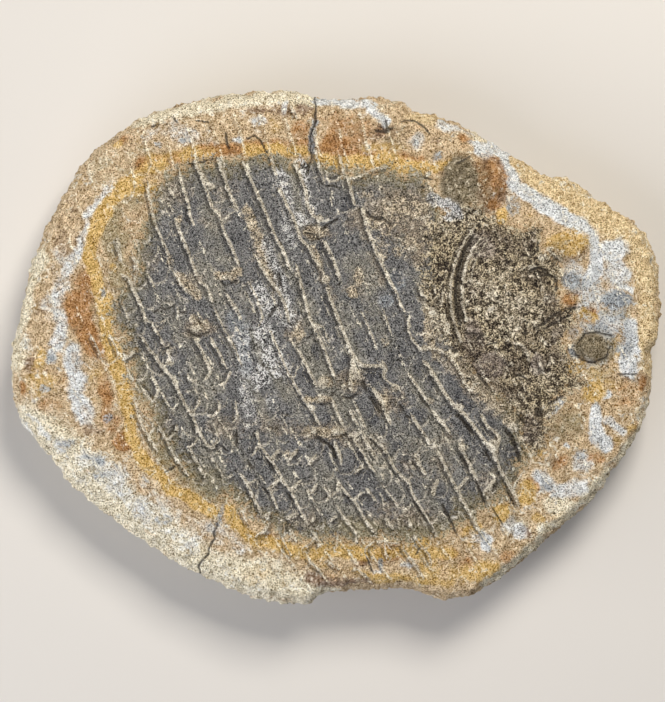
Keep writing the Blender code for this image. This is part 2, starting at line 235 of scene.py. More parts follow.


# %% [markdown]
# ## The outline
#
# The stone's outline is irregular, with nicks where flakes broke off, so it is a drawn ring of
# points. A Catmull-Rom curve runs smoothly through them, and the curve is read at even steps. The
# rind slopes in from the outline to the split edge, wide in two places.

# %% Outline points
OUTLINE_POINTS = (
    (85, 11), (84.3, 22), (82.4, 27.8), (78.2, 33.2), (71.5, 37.2), (66, 40.8), (61, 44.3), (55.5, 44.9),
    (48.5, 48.9), (42.5, 52.6), (34.5, 57.3), (27, 60.5), (20.6, 61.9), (17, 64.4), (9, 65.4), (-4, 65.2),
    (-8.5, 66.5), (-14.5, 67.2), (-26, 66.2), (-39, 64), (-51, 59.7), (-60.5, 53.5), (-66.5, 47.2),
    (-72, 38.2), (-76, 30.5), (-79.8, 20.6), (-82.3, 9.8), (-84.5, -1), (-85, -9.5), (-82.8, -17.5),
    (-77.4, -26.3), (-72.6, -30.8), (-70.6, -34.4), (-64.5, -40.3), (-56.5, -46.3), (-48, -52.5),
    (-39.5, -57.6), (-31.5, -61.4), (-23.5, -65), (-14, -67), (-7.5, -67.1), (-2.8, -64.6), (9, -63.3),
    (21, -63.8), (29.5, -66.1), (37, -64.4), (45, -59.3), (50.8, -54.3), (57.2, -48.8), (64.5, -42.8),
    (72.2, -33.2), (78.8, -24), (82, -15.5), (83.3, -6.5), (82.8, -1.4), (84.7, 3),
)
print("outline points:", len(OUTLINE_POINTS))

# %% Outline and rind
OUTLINE_STEPS = 2400
STEPS_PER_POINT = 40
CORNER = 12.0
RIND_WIDTH = 4.5
RIND_LOBES = ((34.0, 14.0, 9.0), (216.0, 22.0, 9.5))  # bearing, spread, extra width


def outline_curve(points, steps):
    """The closed smooth curve through the points, at even steps along its length."""
    knots = np.array(points)
    place = np.arange(len(knots) * STEPS_PER_POINT) / STEPS_PER_POINT
    first = place.astype(int)
    share = (place - first)[:, None]
    before, start, end, after = (knots[(first + step) % len(knots)] for step in (-1, 0, 1, 2))
    bend = 2 * before - 5 * start + 4 * end - after
    twist = 3 * (start - end) + after - before
    curve = 0.5 * (2 * start + (end - before) * share + bend * share**2 + twist * share**3)
    curve = np.vstack([curve, curve[:1]])
    along = np.concatenate([[0.0], np.cumsum(np.hypot(*np.diff(curve, axis=0).T))])
    wanted = np.linspace(0.0, along[-1], steps, endpoint=False)
    even = np.column_stack([np.interp(wanted, along, curve[:, axis]) for axis in (0, 1)])
    return even, along[-1]


def inward_normals(ring, corner):
    """Unit vectors into the ring, taken over a corner's number of steps each way."""
    along = np.roll(ring, -corner, axis=0) - np.roll(ring, corner, axis=0)
    normals = np.column_stack([-along[:, 1], along[:, 0]])
    return normals / np.hypot(*normals.T)[:, None]


def tree_of(ring):
    """The ring's points, ready to be searched for the nearest one."""
    tree = kdtree.KDTree(len(ring))
    for index, (x, y) in enumerate(ring):
        tree.insert((x, y, 0.0), index)
    tree.balance()
    return tree


outline, outline_length = outline_curve(OUTLINE_POINTS, OUTLINE_STEPS)
inward = inward_normals(outline, round(OUTLINE_STEPS * CORNER / outline_length))
bearing = np.degrees(np.arctan2(outline[:, 1], outline[:, 0])) % 360.0
rind_width = np.full(OUTLINE_STEPS, RIND_WIDTH)
for direction, spread, extra in RIND_LOBES:
    rind_width += extra * np.exp(-(((bearing - direction) / spread) ** 2))
print("outline length, mm:", round(outline_length, 1))

# %% [markdown]
# ## Scale rows
#
# A ganoid fish wears its scales in rows that run down the flank, leaning and bending
# backwards. One number says which row a point is on: its x, less the lean and bend at that
# height. It is even along the trunk and closer near the tail. Where the rows only show as faint
# lines, in the stained rock round the trunk, this plain formula places them.

# %% Row numbers
ROW_PITCH = 6.5
TAIL_ROW_PITCH = 5.6
TAIL_START = -42.0
FIRST_ROW = -22.2
ROW_TOP = 46.6
ROW_LEAN = 0.30
ROW_BEND = 0.00209
LAST_TAIL_ROW = FIRST_ROW + ROW_PITCH * math.ceil((TAIL_START - FIRST_ROW) / ROW_PITCH)


def row_place(x, y):
    """Constant down each leaning, bending scale row, in millimetres along the trunk."""
    down = ROW_TOP - y
    return x - ROW_LEAN * down - ROW_BEND * down * down


def row_number(place):
    """The row's number, whole on its line, and the rows' pitch at that place."""
    pitch = np.where(place < LAST_TAIL_ROW, TAIL_ROW_PITCH, ROW_PITCH)
    return (place - LAST_TAIL_ROW) / pitch, pitch


def row_gap(x, y):
    """Signed distance from the nearest row line, which wanders a little."""
    number, pitch = row_number(row_place(x + swells("row wander", x, y), y))
    return (number - np.rint(number)) * pitch


# %% [markdown]
# ### Scale edges
#
# Each scale's lower edge sags between two row lines, and rises along the trunk from row to row.
# The next row's edges sit about a third of a scale further on, like bricks in a wall.

# %% Scale edges
BAR_RISE = 0.55
SCALE_LENGTH = 5.4
SCALE_SAG = 1.9
SCALE_SHIFT = 0.37


def scale_gap(x, y):
    """Signed distance from the nearest scale edge, and the share of the way across its row."""
    place = row_place(x, y)
    number, _ = row_number(place)
    across = number - np.floor(number)
    sag = SCALE_SAG * (1.0 - (2.0 * across - 1.0) ** 2)
    steps = (y - BAR_RISE * place + sag) / SCALE_LENGTH + SCALE_SHIFT * np.floor(number)
    return (steps - np.rint(steps)) * SCALE_LENGTH, across


def plan_place(place, line):
    """Plan position from the place along the trunk and the line across the rows."""
    y = line + BAR_RISE * place
    down = ROW_TOP - y
    return place + ROW_LEAN * down + ROW_BEND * down * down, y


# %% [markdown]
# ## Trunk and head
#
# The dark trunk is a tilted oval with a ragged shore. The head in front of it is not scaled: its
# bones are crushed to crumbs. Both are closed curves, and a point's depth inside them says how
# surely it belongs to them.

# %% Trunk and head curves
TRUNK_POINTS = (
    (-46.3, 41), (-44.5, 45), (-40, 46.2), (-33, 47.6), (-25, 49.2), (-17, 50), (-11.8, 49.2),
    (-3.4, 47.6), (1.3, 45.8), (7.6, 45.8), (13.9, 46.6), (18.2, 45.5), (22.4, 44), (26.5, 39), (30, 32),
    (31, 20), (32, 10), (35, 1), (39, -7), (45, -13), (50.5, -19.5), (50, -26), (48.7, -31.8),
    (46.6, -36.6), (40.8, -40.8), (35.5, -44.5), (30.3, -47.6), (25, -50), (17.6, -50.8), (9.2, -50.3),
    (1.3, -50.8), (-6.6, -50.4), (-11.8, -49.7), (-17.1, -46.6), (-21.3, -44.5), (-24.5, -41.3),
    (-27.6, -39.7), (-31, -40), (-35, -36.6), (-39.2, -33), (-43.4, -29.5), (-45.2, -25), (-47, -20.8),
    (-48.6, -15.5), (-50.3, -11), (-52.3, -6), (-54.4, -0.8), (-56.6, 5.7), (-57, 11.7), (-55.6, 15.3),
    (-52.3, 18.9), (-51.7, 24.3), (-51.4, 29), (-49.9, 33.2), (-47.5, 38),
)
HEAD_POINTS = (
    (26, 33), (24, 26), (23.5, 18), (24.5, 10), (27, 3), (31, -3), (37, -9), (43, -14), (47, -19),
    (49, -25), (52, -28), (55, -24), (57, -18), (60, -12.5), (65, -9.5), (62.5, -6), (60.5, -1), (61, 4),
    (63, 9.5), (58, 13.5), (59, 18), (58.5, 23), (54, 26), (53.5, 31), (48, 31.5), (43, 32.5), (38, 36),
    (32, 37),
)
print("curve points:", len(TRUNK_POINTS), len(HEAD_POINTS))

# %% Depth inside a region
REGION_STEPS = 600
REGION_CORNER_STEPS = 3
TRUNK_SHORE = (-1.5, 1.5)
HEAD_SHORE = (-1.2, 1.2)
HALO_EDGE = (-13.0, -9.0)


def turns_clockwise(points):
    """Whether the ring is drawn clockwise, by the sign of its area."""
    ring = np.array(points)
    following = np.roll(ring, -1, axis=0)
    return np.sum(ring[:, 0] * following[:, 1] - ring[:, 1] * following[:, 0]) < 0.0


def region(points):
    """The closed curve through the points, ready for depth_inside."""
    ring, _ = outline_curve(points[::-1] if turns_clockwise(points) else points, REGION_STEPS)
    return ring, inward_normals(ring, REGION_CORNER_STEPS), tree_of(ring)


def depth_inside(x, y, place):
    """Distance from a region's shore: positive inside it, negative outside."""
    ring, normals, tree = place
    found = [tree.find((a, b, 0.0)) for a, b in zip(x, y)]
    index = np.array([near[1] for near in found])
    gap = np.array([near[2] for near in found])
    towards = (x - ring[index, 0]) * normals[index, 0] + (y - ring[index, 1]) * normals[index, 1]
    return np.where(towards < 0.0, -gap, gap)


trunk_region = region(TRUNK_POINTS)
head_region = region(HEAD_POINTS)
print("points on each curve:", REGION_STEPS)

# %% [markdown]
# ## Ridges
#
# Cream mineral stands along the edges of the scales, in thin broken ridges, some hooked like a
# U round a scale's lower end. They are drawn one by one, each running down or to the right, so
# that its lower-left side is on the right of its line. The last three curve round the cheek.

# %% Ridges
RIDGES = (
    (0.45, 0.75, -36.4, 48, -34.6, 44, -31.8, 36, -30.3, 34.8, -28.8, 30, -26.8, 26, -25, 21.5),
    (0.6, 0.45, -35.2, 46, -33, 42.5, -31.8, 41.5),
    (0.45, 0.55, -40.5, 46, -40, 43, -38, 37, -37.7, 34, -36.8, 32),
    (0.5, 0.85, -30.5, 49, -27, 39, -25.3, 35.6), (0.25, 0.6, -29.3, 33, -26.2, 35.2),
    (0.25, 0.5, -25, 34.5, -23.7, 33), (0.45, 0.9, -24, 48, -19.3, 38, -15.2, 28, -13.8, 26, -11.8, 20.5),
    (0.4, 0.5, -16.5, 49.5, -16, 46.5, -15.2, 44.8),
    (0.5, 0.95, -14.7, 41, -13.8, 40, -12.2, 36, -11, 34, -8.9, 28, -7.2, 26.3, -3.7, 20.5),
    (0.55, 0.9, -10.3, 48, -7.5, 40, -7.2, 37, -6.5, 35.3, -5.5, 34, -4.2, 33),
    (0.4, 0.9, -5, 51.5, -4.8, 49.5, -2.9, 43.3),
    (0.45, 0.95, 1.3, 49.5, 2.3, 45.3, 3.3, 43.8, 4, 41.5, 5, 37.2),
    (0.5, 0.8, 7.2, 35.5, 8.3, 31, 11, 24, 13, 19.5, 16, 14),
    (0.35, 0.55, 2.3, 45, 0.5, 43.3, -1, 43, -2, 43.5),
    (0.35, 0.5, 3.5, 44, 6.5, 44.3, 10.8, 46.5, 13, 46.8), (0.3, 0.4, -1.2, 38.8, -0.7, 36.8),
    (0.4, 0.7, -48.8, 43, -48.3, 39, -46.8, 32, -43.2, 24), (0.4, 0.4, -43, 41, -41.8, 39),
    (0.4, 0.4, -43.2, 37, -42.3, 35.7), (0.5, 1, -41.5, 32.5, -38.2, 25, -36, 18.8),
    (0.2, 0.6, -37, 23.8, -35.5, 24.2, -34, 25.2), (0.6, 0.55, -56.4, 28, -56.2, 25, -55.8, 23.5),
    (0.5, 0.55, -52.4, 23.5, -51.3, 20, -52, 18, -52.3, 16),
    (0.5, 0.8, -55, 18.6, -53.8, 18, -53.1, 17, -52.5, 15, -50.6, 11.5, -49.2, 6.8),
    (0.35, 0.55, -55.6, 12, -53.5, 6.8), (0.35, 0.45, -58.4, 3, -56.2, -2.2),
    (0.5, 0.75, -50, 2.4, -48.5, -0.5, -46.5, -2.5, -45.9, -3.8, -42, -8.5, -39, -15, -37.2, -17.5, -35.5,
     -21.8, -33.3, -25.5, -32.3, -26.2, -31.8, -26, -30.7, -24.7),
    (0.3, 0.6, -49.2, 6.8, -47.2, 6.2, -45.5, 6.2, -44.4, 6.9), (0.4, 0.65, -47.3, 5.5, -44.6, 0.9),
    (0.4, 0.6, -42, 19.5, -38.7, 14.5), (0.35, 0.45, -48.8, 19, -47.8, 17.5, -47, 15.5),
    (0.4, 0.5, -35, 17, -33.3, 15.8, -31.8, 11.8), (0.35, 0.55, -31.3, 10, -28.5, 4, -26, -0.3, -24.2, -5),
    (0.45, 0.55, -28, 13.5, -24.4, 7.5), (0.4, 0.6, -35.9, 9, -34, 6.5),
    (0.5, 1, -36.5, 2.2, -34.5, -1, -33.7, -3.3, -32.7, -5, -32.4, -6.8, -33.6, -8.3),
    (0.45, 1, -32, 2, -31, -0.2, -29.8, -2, -28.5, -5.2), (0.3, 0.4, -41, 10.5, -40.7, 9, -41, 7),
    (0.45, 0.9, -42.3, -0.3, -43.6, -1, -42.8, -2.8, -43.2, -3.8, -44.2, -4.8),
    (0.4, 0.6, -27, -6.5, -28.6, -9.5, -29.4, -9.8),
    (0.35, 0.6, -38.5, -6.8, -37.8, -8.2, -37, -8.9, -36.2, -8.6),
    (0.4, 0.85, -47.5, -8, -46.2, -10, -46, -11.5, -46.5, -13, -47.5, -14, -49.5, -12, -50.3, -10.5),
    (0.35, 0.55, -52, -14.5, -51, -16.5, -49.5, -18.2, -48.2, -18.8),
    (0.45, 0.75, -51.5, -17, -49.3, -22, -46.5, -26.5), (0.3, 0.5, -47.2, -20, -47, -21.5, -48, -22.5),
    (0.4, 0.8, -45.5, -21, -44.5, -22.5, -42, -28, -38.8, -32.5), (0.3, 0.35, -46.5, -15, -46.8, -18),
    (0.45, 0.9, -41.2, -20.3, -40.9, -21.5, -43, -23.6), (0.4, 1, -36, -24, -36.6, -25.3, -38, -26),
    (0.4, 0.7, -37.8, -26.2, -33.7, -34),
    (0.3, 0.5, -44.6, -12.6, -43.6, -14.6, -42.3, -16.3, -41.1, -14.9),
    (0.4, 0.8, -35.2, -13.5, -35.2, -14.8, -36.3, -16, -37, -17.3),
    (0.4, 0.7, -30.4, -14, -29.8, -15.5, -30.5, -17, -31.8, -18.2, -32.8, -18),
    (0.35, 0.65, -25.8, -14.5, -25.4, -18.3, -26.5, -19.5), (0.3, 0.4, -37.1, -10, -35.7, -12),
    (0.3, 0.5, -31.5, -20, -30.2, -23.8), (0.35, 0.6, -31.9, -29.2, -29, -33.5),
    (0.35, 0.6, -28, -34, -26.8, -33.2), (0.45, 0.8, -24.2, -33.3, -23, -35, -21.3, -39, -19.2, -43),
    (0.35, 0.6, -23, -35.2, -21.5, -35.2, -20.8, -34.5), (0.3, 0.5, -19.8, -33, -18.5, -35),
    (0.4, 0.85, -17, -37, -15, -41.7),
    (0.45, 0.9, -20.3, -22, -19.7, -25.3, -15.5, -31, -13.3, -35, -10.6, -39, -9.2, -42.3),
    (0.35, 0.6, -20.2, -26, -20.9, -27.6, -21.8, -28.3), (0.3, 0.4, -9, -43, -7.5, -45),
    (0.35, 0.6, -24.2, -42.7, -22.3, -41), (0.55, 0.65, -20, -49, -18.3, -47.8, -17.2, -45.8),
    (0.45, 0.75, -12, -46.5, -10.2, -50), (0.35, 0.6, -12, -50.3, -11.1, -49.3),
    (0.45, 0.75, -5.5, -48.8, -3.8, -51.8), (0.35, 0.6, -8, -52, -6.5, -51.3, -5.2, -49.5),
    (0.3, 0.4, -14, -20.5, -12.5, -22.5), (0.3, 0.35, -7, -37, -4.2, -43),
    (0.35, 0.65, 1.2, -36, 0, -38, -1.2, -38.8, -2, -39.8), (0.3, 0.6, -2.8, -36.5, -1.5, -38),
    (0.5, 0.9, -19.8, 22, -17.3, 18, -15, 15, -12.8, 10.5, -12, 6.5),
    (0.35, 0.6, -22.2, 16.5, -20.4, 13, -18.7, 7.5, -19.8, 5.5), (0.3, 0.4, -26, 11.5, -24.4, 7.5),
    (0.45, 0.9, -10, 21, -6.5, 7.5, -3.2, 0.5, 0, -8),
    (0.5, 1, -1.8, 15.5, -1.5, 13.5, 4.7, -2.5, 4.5, -5, 4, -7, 4, -9),
    (0.3, 0.5, -5.6, 6, -4.2, 5.8, -3, 5, -1.7, 1.5), (0.45, 0.9, -9.3, -1, -4.8, -10),
    (0.4, 0.75, -16.7, 4, -12.2, -6.8, -7.7, -14.3, -6.2, -16, -4.2, -19.8),
    (0.25, 0.45, -9.3, -5.2, -10.2, -6.3, -10.3, -7.8, -11.2, -8),
    (0.55, 0.5, -2.8, 27.5, -1, 24, 1.2, 18), (0.35, 0.4, -3.8, 21, -2.8, 19, -2, 14.5),
    (0.35, 0.5, 7, 9, 9.8, 2.5, 10.8, -0.5), (0.35, 0.5, 12.5, 9.5, 14.5, 3.5),
    (0.4, 0.6, 16, 14, 17, 11, 17.8, 9.5), (0.4, 0.6, 19.3, 8, 19, 4.5, 19.8, 2.5, 22, -0.5),
    (0.4, 0.85, 22, 15.5, 22.5, 14, 23.7, 12.6), (0.35, 0.5, 26, 16, 26, 14),
    (0.55, 1, 23.3, -4, 24.5, -5.5, 29, -12.8, 31.5, -15.8, 33.5, -17.3, 40.5, -26.5, 41.5, -28.3, 42.5,
     -31, 46.8, -38.5, 47.7, -41),
    (0.35, 0.6, 24, 0, 27, -0.8, 29, -1.7, 31.8, -4.8, 34, -9.5, 35, -11), (0.4, 0.8, 19.5, -7.5, 24, -14),
    (0.55, 1, 4.7, -2, 6, -4, 7.5, -4.9, 12.8, -5, 13.3, -5.7, 13, -6.5), (0.4, 0.6, 12.2, -3.6, 13, -4.6),
    (0.4, 0.6, 12.6, -6, 12.6, -7.8, 14, -9.5, 16, -10, 16.7, -11), (0.45, 0.8, 4.5, -3, 5, -5, 6.3, -8),
    (0.6, 0.9, 10, -11, 12.3, -15, 14.3, -19.5), (0.45, 0.7, -0.5, -14, 0.5, -17, 2, -19.9),
    (0.35, 0.4, 1.7, -12.3, 2.5, -13.8), (0.4, 0.45, 5, -14.2, 8, -21.3),
    (0.4, 0.65, 4, -16.5, 4.5, -18, 6, -20.3), (0.5, 0.95, 3.7, -22.7, 4.7, -23.5, 6.8, -22),
    (0.4, 0.95, 5, -24.3, 7.3, -27.6, 9, -30.8, 10.3, -32.3), (0.55, 0.5, 7.2, -22.5, 8.3, -25, 10.7, -29),
    (0.4, 0.5, 9.3, -22.8, 10, -24, 12.5, -26, 13.5, -27.5),
    (0.45, 0.85, 14, -28.7, 15, -30.8, 16.2, -32.5, 17.7, -34, 19.2, -35, 19.9, -37.7, 26.5, -49),
    (0.5, 1, 20, -18, 24.4, -24.7), (0.5, 0.85, 25.8, -25, 26.3, -26.5, 27.5, -28.5, 30, -34, 37.5, -47.5),
    (0.5, 0.75, 20.8, -28, 21.5, -30, 23.5, -33),
    (0.18, 0.8, 21.8, -28.8, 22.3, -27.5, 23.5, -26.8, 24.8, -26.8, 25.7, -27.5),
    (0.55, 1, 0, -25, 1.4, -28.7, 1.5, -30),
    (0.4, 0.75, 0.8, -35, 1.6, -36.3, 5.8, -41, 7.5, -44.5, 10.3, -48), (0.4, 0.7, 5, -39.5, 7, -37.8),
    (0.35, 0.5, 0.5, -41.3, 2.7, -45, 5.3, -48), (0.3, 0.3, 12, -35.5, 16.5, -41.3),
    (0.3, 0.35, 14.7, -46.3, 16.3, -48.7), (0.5, 0.8, 19.3, -45.2, 19.9, -47.2),
    (0.5, 0.85, 25.5, -16.8, 29.8, -22.2),
    (0.5, 0.7, 38, -18, 39.5, -20.5, 42.8, -23.3, 42.5, -25, 41.7, -27), (0.5, 0.85, 32, -37, 34.3, -34),
    (0.6, 0.95, 32.3, -25.5, 36.8, -34.5), (0.35, 0.5, 39.5, -38.5, 40.3, -41),
    (0.4, 0.6, 48.5, -33, 47, -35.5, 46.5, -37.5),
    (0.35, 0.7, 8.5, -55, 7.8, -53.5, 8, -52, 10.5, -50.5, 12.5, -50.4, 14.5, -51, 17, -51.1),
    (0.35, 0.6, 12.8, -51.5, 13.2, -53.3, 14, -55), (0.4, 0.5, 17.5, -50.5, 18, -53, 21.5, -57.5, 23, -60),
    (0.4, 0.6, 20.8, -49.3, 22, -51.3, 24.5, -54, 25, -56), (0.35, 0.6, -7, -55, -5.5, -57, -4, -58),
    (0.4, 0.6, -1.5, -56, 1, -58), (0.4, 0.6, 5, -57.5, 8, -59.5), (0.35, 0.55, -24, -43, -22.5, -47),
    (0.3, 0.5, -13.5, -50, -12.5, -52.5, -11, -54.5), (0.4, 0.5, -11.4, 62.7, -10, 60),
    (0.4, 0.6, -63.5, 3, -61, -2), (0.45, 0.8, 47, 1, 48.7, 0.5, 49.7, -0.8, 50.3, -2.5, 50.3, -3.5),
    (0.3, 0.5, 48.5, -9, 49.5, -11.5), (0.35, 0.5, 15.5, 28.3, 17.5, 28), (0.4, 0.5, 28, 14, 27.7, 11),
    (0.35, 0.6, 53, -3, 54, -6), (0.6, 1, -16.9, -36.7, -14.9, -34.7),
    (0.55, 0.9, -16.6, -29.1, -14.8, -27), (0.6, 0.9, -11.5, -28.8, -10, -26.9),
    (0.5, 0.75, -6.5, -30, -5.2, -28.5), (0.55, 1, -11.6, -37.2, -9.3, -35.2),
    (0.55, 0.85, -6.2, -38, -5, -36), (0.6, 1, -18.3, -44, -17, -43.3), (0.6, 1, -12.2, -44.3, -10, -43.5),
    (0.5, 1, -6, -45.3, -5.2, -44.2), (0.5, 0.9, -1, -45, 0, -44.2),
    (0.7, 1, 26.5, -35, 25.7, -36.5, 25.5, -38.3), (0.5, 0.9, 5.3, -32.8, 6.8, -31),
    (0.45, 1.1, 8.4, -37, 10.3, -39.6), (0.5, 0.9, 19.5, -41.3, 18.8, -42.2, 17.7, -42.7),
    (0.6, 1, 13.5, -44.8, 13.8, -46), (0.7, 1, 39, -38, 41.5, -34.7), (0.5, 0.7, -54.9, -3.1, -52.1, -1.1),
    (0.9, 0.9, 11, -12.5, 12.3, -15), (0.6, 0.9, 33, -15.5, 31.5, -15.3), (0.5, 0.8, 0.8, -35, 0.7, -37.5),
    (0.5, 0.8, 5.2, -5, 5, -8), (0.5, 0.8, 4.2, -9.5, 4.2, -11.5),
    (0.4, 1, 36.2, 31, 34.2, 28.5, 32.4, 25, 31, 21, 30.2, 17, 30, 13, 30.4, 9, 31.4, 5, 32.8, 1.5),
    (0.4, 0.95, 37.7, 28, 35.7, 25, 34.2, 21.5, 33.4, 18, 33.1, 14.5, 33.3, 10.5, 34.2, 7),
    (0.3, 0.7, 39.5, 27.5, 37.3, 24.5, 36, 21, 35.2, 17),
)
print("ridges:", len(RIDGES))

# %% [markdown]
# ## Knobs and crumbs
#
# Where scales meet, the mineral swells to a knob. Crumbs of rock that didn't part from the fish
# when the nodule was split still cling to its trunk.

# %% Knobs and crumbs
KNOB_SPOTS = (
    (-42.6, -4.4, 1.2, 0.7, 0.9), (-52, -13.5, 0.9, 0.8, 0.8), (-37.2, -17.3, 0.8, 0.8, 1),
    (-26.7, -27.2, 0.8, 0.5, 0.8), (-29.5, -27.2, 0.5, 0.4, 0.7), (-5.5, -21.5, 0.8, 1.3, 0.9),
    (0.3, -22, 1.4, 1, 1), (0.3, -31.8, 0.6, 0.8, 0.9), (-3.3, -9.2, 1.5, 2, 1),
    (-5.8, -15.7, 0.9, 1, 0.8), (-3.4, -13.7, 1.2, 0.6, 0.9), (12.4, -31.1, 1.3, 0.9, 0.9),
    (12.3, -33.2, 0.7, 0.5, 1.1), (12.6, -34.4, 0.5, 0.4, 1), (12.3, -39.5, 0.9, 0.5, 0.7),
    (13, -40.8, 0.9, 0.5, 0.8), (41, -25.5, 1.4, 1.8, 0.9), (24.3, -13.7, 1, 0.7, 0.8),
    (25.8, -24.3, 0.8, 1.2, 0.7), (46.5, -21, 1.4, 1.4, 0.8), (23.2, -0.2, 1.6, 0.9, 0.9),
    (-51.6, 5.6, 1, 0.7, 0.7), (-42.6, 21, 0.9, 1.5, 0.6), (-40.7, 31.3, 0.7, 0.8, 1),
    (33.3, -26, 0.8, 1.2, 0.8), (28.3, -20.3, 0.7, 0.7, 0.8), (12.4, -5, 1.3, 0.6, 1),
    (17.8, -13.2, 1, 0.7, 0.6), (11.5, -23.5, 1.3, 0.7, 0.7), (20.2, -31.5, 0.7, 0.6, 0.7),
    (5.7, -50.3, 1, 0.7, 0.6), (-2.4, 17.3, 1.1, 1.3, 0.9), (-9.8, 19, 1, 1.2, 0.7),
    (25.5, 9.5, 1.3, 1.2, 0.8), (-36, 4.8, 2, 1, 0.9), (-4, 33.3, 1.2, 1.2, 0.9),
    (-25.7, 36.3, 0.8, 1, 0.9), (-38, 14.3, 1, 0.7, 0.8), (-28, 18.3, 1.8, 0.7, 0.8),
    (1.8, -10, 1, 0.9, 0.7), (36.8, 24.8, 0.8, 0.5, 1), (27.8, 30.6, 1, 0.5, 0.8),
    (26.8, 28, 0.8, 0.6, 0.7), (20, 25.5, 1.4, 1.1, 0.8), (20, 31, 0.8, 0.5, 0.7),
    (14.2, 37.4, 0.8, 0.7, 0.8), (51.5, 20.9, 1.3, 0.5, 1), (45, 14, 0.9, 0.5, 0.9),
    (45.7, -4.3, 1, 0.6, 0.8), (54, 23.3, 1.6, 1.2, 0.6), (54.8, 12.6, 0.8, 0.7, 0.7),
    (34.3, 11.5, 0.8, 1.6, 0.7), (3, 29.5, 1, 0.8, 0.5),
)
CRUMB_LINES = (
    (1.4, 0.9, -23, 35.5, -21.3, 31.5, -19.5, 27, -18.5, 23, -16.5, 18.5, -14.5, 14),
    (1.3, 1, -30.3, 18.7, -27.6, 18.2, -25, 19.5), (1.4, 0.9, -40.3, 18.2, -38.2, 16, -35.8, 13.4),
    (1, 0.7, -6, 26, -4, 20.8), (0.9, 0.9, -7.6, -13.4, -1.3, -13.9), (1.5, 1, -6.6, -21.8, 1.3, -22.4),
    (2, 0.5, 12, 24, 13, 30, 17, 36), (1.6, 0.7, 25, 10, 24, 3, 26, -2),
    (1.8, 0.8, 30, -2, 36, -10, 43, -16),
)
CRUMB_SPOTS = (
    (-35, 5.5, 2.6, 2.2, 0.9), (-36.8, 8.2, 1.5, 1.5, 0.7), (-42.9, 22.4, 1.2, 2, 0.7),
    (-5.5, 29.5, 3.2, 2.2, 0.9), (-2.4, 17.6, 1.3, 1.4, 1), (4.5, 14, 1.8, 1.8, 1),
    (6, 18.7, 1.3, 2.2, 0.9), (-9.5, 3.5, 2, 2.4, 0.8), (25.5, 9.2, 1.8, 1.6, 0.9),
    (23.4, -0.3, 1.8, 1, 0.9), (-2.4, -9.2, 2.4, 1.8, 1), (4, -9.7, 2, 1.6, 0.8),
    (-0.3, -21.8, 1.8, 1.2, 1), (12.4, -14, 1.5, 2.6, 0.9), (15.5, -10.8, 1.6, 1.3, 0.7),
    (24.5, -14, 1.2, 0.8, 0.8), (41.8, -25.5, 1.4, 3, 0.9), (45.5, -19.2, 2, 2, 0.8),
    (-12, -28, 2, 1.4, 0.5), (20, 36, 4, 3, 0.7), (20, 27, 3, 3, 0.6), (14, 36, 2.5, 2.5, 0.7),
    (10, 32, 2, 2.4, 0.7), (28, 12, 2, 6, 0.6), (16, 25, 2, 2, 0.6), (-11, 8, 1.5, 2, 0.6),
    (-40.5, 33, 1.2, 1.4, 0.8), (13, 1.5, 1.5, 2, 0.5), (33, -26, 1.4, 2, 0.6), (-36, 4.8, 2.2, 1.2, 0.8),
    (6.3, 17.5, 1.2, 2, 0.8), (8, 9, 0.8, 0.6, 0.6), (8.3, 7, 0.6, 0.6, 0.6), (-9.8, 19, 1, 1.2, 0.6),
    (15.5, 34.5, 1.2, 0.9, 0.6), (17.5, 28, 1.2, 0.9, 0.6), (26.5, 21, 1.2, 3, 0.6),
    (-22, 17, 1, 0.8, 0.6), (37.5, -11, 1.3, 1, 0.8), (33.5, -10, 1.3, 1, 0.8), (-19.3, 25, 1, 2, 0.7),
    (22, 36, 3.4, 2.6, 0.75), (27, 30, 2.6, 4.4, 0.6), (17, 38, 3, 2.2, 0.6), (24, 40.5, 3.4, 1.6, 0.6),
    (12.5, 33, 2, 2.4, 0.5), (20.5, 27, 2, 3.4, 0.5), (29.5, 36, 3, 2, 0.6), (26, 22, 1.8, 3, 0.45),
    (26.5, 4, 2, 5, 0.5), (30, -3, 2, 3, 0.5), (35, -9, 3, 2, 0.5), (8, 40, 2.4, 1.6, 0.45),
)
print("knobs and crumbs:", len(KNOB_SPOTS), len(CRUMB_SPOTS))

# %% [markdown]
# ## Crevices
#
# The first two lines are the ends of an old break across the whole stone, which was mended. The
# others are small cracks, the undercut edges of scales and bones, and pits between the crumbs.

